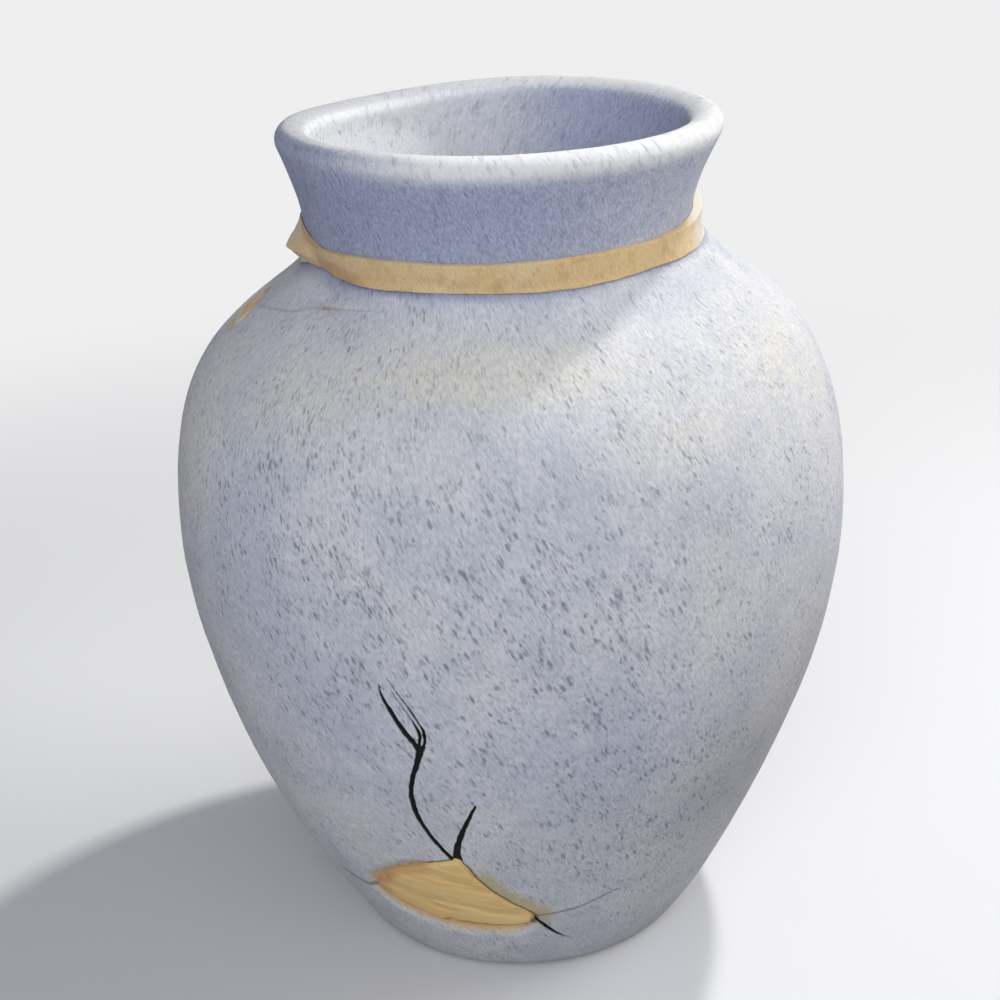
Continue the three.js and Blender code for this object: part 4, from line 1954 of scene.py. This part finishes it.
@dataclass
class NeckStrap:
    """The flat suede strap that lies on the fillet and on the neck's root."""

    shape: VaseShape
    hand: Hand
    material: Material
    steps: int = 360
    crown: float = 0.15 * MM
    least: float = 1.1 * MM
    wave: float = 0.16 * MM
    wave_size: float = 16 * MM
    nap: float = 0.08 * MM
    swell_size: float = 11 * MM
    nap_size: float = 0.9 * MM
    ripple_radius: float = 67 * MM
    ripple_width: float = 8 * MM
    round_out: float = 0.33
    round_up: float = 0.09
    shallow: float = 0.5 * MM
    thinnest: float = 0.4 * MM
    creases: Tuple[Tuple[float, float, float], ...] = (
        (41.5, 5.0, 0.30), (43.8, 7.0, 0.24), (36.0, 6.0, 0.14), (20.0, -4.0, 0.12),
        (-31.0, 5.0, 0.16), (-52.0, 9.0, 0.2), (64.0, 8.0, 0.14),
    )
    crease_lean: float = 0.4
    crease_width: float = 0.75
    fold_shift: float = 1.6
    fold_width: float = 0.9
    fold_share: float = 0.3
    stain: Tuple[float, float, float] = (-64.0, -42.0, 8.0)
    # The strap is darker at its left: how much, and where it rises and falls.
    left_darkening: float = 0.6
    darkening_rise: Pair = (-110.0, -80.0)
    darkening_fall: Pair = (-70.0, -28.0)
    # The painted highlight on the strap's right end: its strength, and where it rises and falls.
    cream: float = 0.9
    painted_highlight_rise: Pair = (60.0, 78.0)
    painted_highlight_fall: Pair = (130.0, 160.0)

    @staticmethod
    def lay(name: str, angle: np.ndarray) -> np.ndarray:
        """Reads one measure of the strap's lay, by its name, at some angles round the vase."""
        return all_round(tuple((lay.angle, getattr(lay, name)) for lay in STRAP_LAYS), angle) * MM

    @classmethod
    def edges(cls, angle: np.ndarray) -> Tuple[np.ndarray, np.ndarray]:
        """Heights of the strap's upper and lower edge at some angles."""
        low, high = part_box("neck_strap")
        return high.z + cls.lay("top", angle), low.z + cls.lay("bottom", angle)

    def bed(self, height: np.ndarray) -> np.ndarray:
        """Radius of the strap's back at some heights."""
        under = joined(self.shape.body_side(), self.shape.neck_side())
        return np.interp(height, under[:, 1], under[:, 0]) + self.shape.clearance

    def depth(self, angle: np.ndarray, height: np.ndarray) -> np.ndarray:
        """Works out how far the strap's face stands out from its back.

        Args:
            angle: Angles round the vase.
            height: Heights.

        Returns:
            The depths.
        """
        top, bottom = self.edges(angle)
        up = np.clip((height - bottom) / (top - bottom), 0, 1)
        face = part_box("neck_strap")[1].x - self.shallow
        plain = np.maximum(face - self.bed(height), self.least)
        out = up * self.lay("top_out", angle) + (1 - up) * self.lay("bottom_out", angle)
        return np.maximum(plain + out, self.thinnest)

    def section(self) -> np.ndarray:
        """Draws the strap's section with its outer corners rounded, one wide and one high.

        Returns:
            Rows of reach and height.
        """
        bend = np.linspace(0, math.pi / 2, 7)
        top = np.column_stack([1 - self.round_out + self.round_out * np.sin(bend),
                               1 - self.round_up + self.round_up * np.cos(bend)])
        bottom = top[::-1] * (1, -1) + (0, 1)
        face = np.column_stack([np.ones(8), np.linspace(top[-1, 1], bottom[0, 1], 10)[1:-1]])
        back = np.column_stack([np.zeros(9), np.linspace(0, 1, 9)])
        return np.concatenate([back, top, face, bottom])[::-1]

    def creased(self, angle: np.ndarray, up: np.ndarray) -> np.ndarray:
        """Works out how the creases push the strap's face in, and out beside them.

        Args:
            angle: Angles round the vase.
            up: Shares of the way up the strap.

        Returns:
            How far the face moves outwards.
        """
        push = np.zeros(len(angle))
        for middle, slant, deep in self.creases:
            off = turned_from(angle - slant * (2 * up - 1) * self.crease_lean, middle)
            push -= deep * MM * np.exp(-(off / self.crease_width) ** 2)
            fold = (off - self.fold_shift) / self.fold_width
            push += self.fold_share * deep * MM * np.exp(-fold ** 2)
        return push

    def build(self) -> None:
        """Makes the piece from a ring of a unit section, which is then laid round the neck."""
        bm = spun(self.section() + (1, 0), self.steps, closed=True)
        unit = places_of(bm)
        out, up = reaches_of(unit) - 1, unit[:, 2]
        angle = angles_of(unit)
        ring = unit * (1, 1, 0) * self.ripple_radius
        high, low = self.edges(angle)
        high = high + self.wave * ripple(ring, self.wave_size, 2.2)
        low = low - self.wave * ripple(ring, self.wave_size, 7.7)
        height = low + up * (high - low)
        depth = self.depth(angle, height) - self.crown * (2 * up - 1) ** 2
        band = ring + unit * (0, 0, self.ripple_width)
        push = 0.5 * self.wave * ripple(band, self.swell_size, 5.0) + self.creased(angle, up)
        push += self.nap * ripple(band, self.nap_size, 6.0, octaves=3)
        places = wrapped(self.bed(height) + out * depth + ramp(out, 0.3, 0.9) * push, angle, height)
        move_to(bm, places)
        present(bm, "suede_strap", self.material, "neck_strap", self.hand,
                self.stains(places, angle, up), sharp=60)

    def stains(self, places: np.ndarray, angle: np.ndarray, up: np.ndarray) -> Marks:
        """Marks the strap's stain, its darkening at the left and the painted highlight on its right end.

        Args:
            places: Rows of x, y and z.
            angle: Their angles round the vase.
            up: Their shares of the way up the strap.

        Returns:
            The marks for the material.
        """
        first, last, soft = self.stain
        stain = ramp(angle, first - soft, first + soft) * (1 - ramp(angle, last - soft, last + soft))
        rust = stain * (1 - ramp(up, 0.2, 0.8)) * patchy(places, 5 * MM, 3.0)
        # The rust mark also makes the strap darker at its left.
        darker_left = ramp(angle, *self.darkening_rise) * (1 - ramp(angle, *self.darkening_fall))
        rust += self.left_darkening * darker_left * patchy(places, 2 * MM, 5.0)
        # Painted highlight on the right end.
        cream = ramp(angle, *self.painted_highlight_rise) * (1 - ramp(angle, *self.painted_highlight_fall)) * self.cream
        return {"rust": np.clip(rust, 0, 1), "cream": cream}


@dataclass
class StrapKnot:
    """The pointed lump at the left, where the strap's ends are folded over and tucked."""

    strap: NeckStrap
    hand: Hand
    material: Material
    columns: int = 110
    rows: int = 70
    crest: float = -79.0
    front_reach: float = 17.0
    back_reach: float = 18.0
    thin: float = 0.10 * MM
    sunk: float = 0.25 * MM
    line: Table = ((0.0, 0.1), (0.1, 1.2), (0.26, 4.2), (0.44, 6.3), (0.56, 4.9), (0.8, 1.4),
                   (0.9, 0.3), (1.0, 0.0))
    ridge: float = 0.16
    crease: float = 0.35 * MM
    crease_up: float = 0.60
    crease_slope: float = -0.25
    crease_width: float = 0.05
    rough: float = 0.10 * MM
    rough_size: float = 2.6 * MM
    rim_up: float = 8.0
    rim_along: float = 6.0

    def build(self) -> None:
        """Makes the piece from a flat grid, wrapped on the strap and drawn out to a point."""
        bm = bmesh.new()
        bmesh.ops.create_grid(bm, x_segments=self.columns, y_segments=self.rows, size=1)
        bmesh.ops.solidify(bm, geom=bm.faces[:], thickness=1)
        flat = places_of(bm)
        front = flat[:, 2] > flat[:, 2].mean()
        along, up = flat[:, 0], (flat[:, 1] + 1) / 2
        away = np.abs(along)
        angle = self.crest + along * np.where(along > 0, self.front_reach, self.back_reach)
        high, low = self.strap.edges(angle)
        height = low + up * (high - low)
        under = self.strap.bed(height) + self.strap.depth(angle, height)
        rim = np.minimum(np.minimum(up, 1 - up) * self.rim_up, (1 - away) * self.rim_along)
        grain = np.column_stack([np.radians(angle) * under, height, np.zeros(len(height))])
        rough = self.rough * ripple(grain, self.rough_size, 9.0, octaves=3) * ramp(rim, 0, 1)
        surface = under + np.maximum(self.lift(along, up), 0) + rough + self.thin * ramp(rim, 0, 0.6)
        move_to(bm, wrapped(np.where(front, surface, under - self.sunk), angle, height))
        # Painted shade: the knot is browner low on its front half, through the rust mark. It is lighter, in
        # cream, along its middle.
        stain = (1 - ramp(up, 0.1, 0.5)) * ramp(along, 0.1, 0.8)
        cream = 0.35 * (1 - ramp(away, 0.1, 0.5))
        present(bm, "suede_knot", self.material, "strap_knot", self.hand,
                {"rust": 0.5 * stain, "cream": cream}, sharp=70)

    def lift(self, along: np.ndarray, up: np.ndarray) -> np.ndarray:
        """Works out how far the folds stand out from the strap.

        Args:
            along: Places along the knot, from -1 at its back end to 1 at its front end.
            up: Their shares of the way up the strap.

        Returns:
            The lift of each place, with the crease between the folds.
        """
        away = np.abs(along)
        blunt = np.sqrt(away ** 2 + self.ridge ** 2) - self.ridge
        peak = 1 - blunt / (math.sqrt(1 + self.ridge ** 2) - self.ridge)
        heights, lifts = zip(*self.line)
        lift = np.interp(up, heights, lifts) * MM * peak * ramp(away, 1.0, 0.75)
        off = (up - self.crease_up - self.crease_slope * along) / self.crease_width
        return lift - self.crease * np.exp(-off ** 2) * ramp(away, 1.0, 0.4)


# Floor, lamps and camera

def shown_share(tree: bpy.types.NodeTree) -> Socket:
    """Tells the rays that show a surface from those that only light the vase.

    Args:
        tree: The nodes of the floor or of the world.

    Returns:
        1 for a ray from the camera, off a mirror or through glass, or else 0.
    """
    path = tree.nodes.new("ShaderNodeLightPath")
    share = path.outputs["Is Camera Ray"]
    for kind in ("Is Glossy Ray", "Is Transmission Ray"):
        either = tree.nodes.new("ShaderNodeMath")
        either.operation = "MAXIMUM"
        tree.links.new(share, either.inputs[0])
        tree.links.new(path.outputs[kind], either.inputs[1])
        share = either.outputs[0]
    return share


@dataclass(frozen=True)
class Lamp:
    """A soft square lamp, placed by the way to it from the vase."""

    name: str
    angle: float
    elevation: float
    distance: float
    size: float
    watts: float
    colour: Colour
    aim: float = 0.17

    def build(self) -> None:
        """Adds the lamp."""
        data = bpy.data.lights.new(self.name, "AREA")
        data.size = self.size
        data.energy = self.watts
        data.color = self.colour
        lamp = bpy.data.objects.new(self.name, data)
        turn, rise = math.radians(self.angle), math.radians(self.elevation)
        way = Vector((math.sin(turn) * math.cos(rise), -math.cos(turn) * math.cos(rise), math.sin(rise)))
        lamp.location = Vector((0, 0, self.aim)) + self.distance * way
        lamp.rotation_euler = way.to_track_quat("Z", "Y").to_euler()
        bpy.context.scene.collection.objects.link(lamp)


@dataclass(frozen=True)
class Studio:
    """The pale floor, the lamps, the ambient light and the camera."""

    lamps: Tuple[Lamp, ...] = (
        Lamp("key_lamp", 130, 58, 1.5, 0.10, 11.8, (1.0, 0.99, 0.965)),
        Lamp("side_lamp", 100, 30, 1.7, 1.1, 13.6, (1.0, 0.985, 0.955)),
        Lamp("front_lamp", -6, 21, 1.9, 1.3, 16.0, (0.93, 0.96, 1.0)),
        Lamp("upper_lamp", 0, 60, 1.8, 1.2, 3.0, (1.0, 1.0, 1.0)),
        Lamp("left_lamp", -72, 18, 1.8, 1.0, 1.2, (0.96, 0.98, 1.0)),
    )
    ambient: Colour = (0.92, 0.96, 1.06)
    ambient_level: float = 0.15
    backdrop: Colour = (0.86, 0.86, 0.87)
    floor_size: float = 12.0
    floor_colour: Colour = (142, 141, 142)
    floor_seen: Colour = (238, 238, 240)
    floor_fade: Pair = (0.34, 0.85)
    camera_distance: float = 0.650
    camera_aim: float = 0.159
    camera_elevation: float = 22.857
    camera_yaw: float = -0.361
    camera_roll: float = -2.114
    lens: float = 64.02
    sensor: float = 36.0
    nearest: float = 0.02

    def build(self) -> None:
        """Sets up everything round the vase."""
        self.floor()
        self.world()
        for lamp in self.lamps:
            lamp.build()
        self.camera()
        bpy.context.scene.view_settings.view_transform = "Standard"

    def floor(self) -> None:
        """Lays the floor, which shows paler than it lights the vase and fades into the
        backdrop away from it."""
        bm = bmesh.new()
        bmesh.ops.create_grid(bm, x_segments=1, y_segments=1, size=self.floor_size / 2)
        mesh = bpy.data.meshes.new("floor")
        bm.to_mesh(mesh)
        bm.free()
        floor = bpy.data.objects.new("floor", mesh)
        bpy.context.scene.collection.objects.link(floor)
        mix = Recipe("floor")
        share = shown_share(mix.tree)
        material = mix.done(mix.blend(share, self.floor_colour, self.floor_seen), 0.9)
        length = mix.add("ShaderNodeVectorMath", operation="LENGTH")
        mix.feed(length.inputs[0], mix.places)
        far = mix.times(mix.span(length.outputs["Value"], *self.floor_fade), share)
        plain = mix.add("ShaderNodeEmission")
        plain.inputs["Color"].default_value = (*self.backdrop, 1)
        faded = mix.add("ShaderNodeMixShader")
        for socket, value in zip(faded.inputs, (far, mix.shader.outputs[0], plain.outputs[0])):
            mix.feed(socket, value)
        mix.feed(mix.tree.nodes["Material Output"].inputs["Surface"], faded.outputs[0])
        mesh.materials.append(material)

    def world(self) -> None:
        """Lights the vase evenly from all round and shows a pale backdrop."""
        world = bpy.data.worlds.new("studio")
        world.use_nodes = True
        bpy.context.scene.world = world
        tree = world.node_tree
        light = tree.nodes["Background"]
        light.inputs["Color"].default_value = (*self.ambient, 1)
        light.inputs["Strength"].default_value = self.ambient_level
        shown = tree.nodes.new("ShaderNodeBackground")
        shown.inputs["Color"].default_value = (*self.backdrop, 1)
        mixer = tree.nodes.new("ShaderNodeMixShader")
        for socket, value in zip(mixer.inputs, (shown_share(tree), light.outputs[0], shown.outputs[0])):
            tree.links.new(value, socket)
        tree.links.new(mixer.outputs[0], tree.nodes["World Output"].inputs["Surface"])

    def camera(self) -> None:
        """Sets the camera at the photograph's angle."""
        rise, yaw, roll = (math.radians(angle) for angle in
                           (self.camera_elevation, self.camera_yaw, self.camera_roll))
        ahead = Vector((0, math.cos(rise), -math.sin(rise)))
        right = Vector((1, 0, 0))
        up = right.cross(ahead)
        ahead, right = (ahead * math.cos(yaw) + right * math.sin(yaw),
                        right * math.cos(yaw) - ahead * math.sin(yaw))
        right, up = (right * math.cos(roll) + up * math.sin(roll),
                     up * math.cos(roll) - right * math.sin(roll))
        data = bpy.data.cameras.new("camera")
        data.lens = self.lens
        data.sensor_width = self.sensor
        data.clip_start = self.nearest
        camera = bpy.data.objects.new("camera", data)
        turn = Matrix((right, up, -ahead)).transposed().to_4x4()
        place = Vector((0, -self.camera_distance * math.cos(rise),
                        self.camera_aim + self.camera_distance * math.sin(rise)))
        camera.matrix_world = Matrix.Translation(place) @ turn
        bpy.context.scene.collection.objects.link(camera)
        bpy.context.scene.camera = camera


@dataclass
class Vase:
    """The whole vase, made piece by piece."""

    shape: VaseShape = field(default_factory=VaseShape.from_frame)
    hand: Hand = Hand()

    def build(self) -> None:
        """Makes and dresses every piece."""
        side = Side(self.shape.body_side())
        body_stone = StoneFinish().material()
        neck_stone = StoneFinish(
            name="stone_finish_neck", pale=(246, 246, 248), grey=(236, 238, 243),
            blue=(192, 199, 226), dust=(192, 194, 204), lip=(252, 252, 252), mottle=0.12,
            streaks=0.3, grain=0.8, grain_size=0.5 * MM, stroke_tilt=-20.0, stroke_length=4.5,
            speckling=0.36).material()
        clay = BareClay().material()
        suede = Suede().material()
        ClayBody(self.shape, side, self.hand, clay).build()
        BodyCoat(self.shape, side, self.hand, body_stone).build()
        NeckPieces(self.shape, self.hand, neck_stone, clay, DriedSlip().material()).build()
        GlazeLiner(self.shape, self.hand, InnerGlaze().material()).build()
        strap = NeckStrap(self.shape, self.hand, suede)
        strap.build()
        StrapKnot(strap, self.hand, suede).build()


def main() -> None:
    """Builds the studio and the vase."""
    logging.basicConfig(level=logging.INFO, format="%(name)s: %(message)s")
    Studio().build()
    Vase().build()


if __name__ == "__main__":
    main()
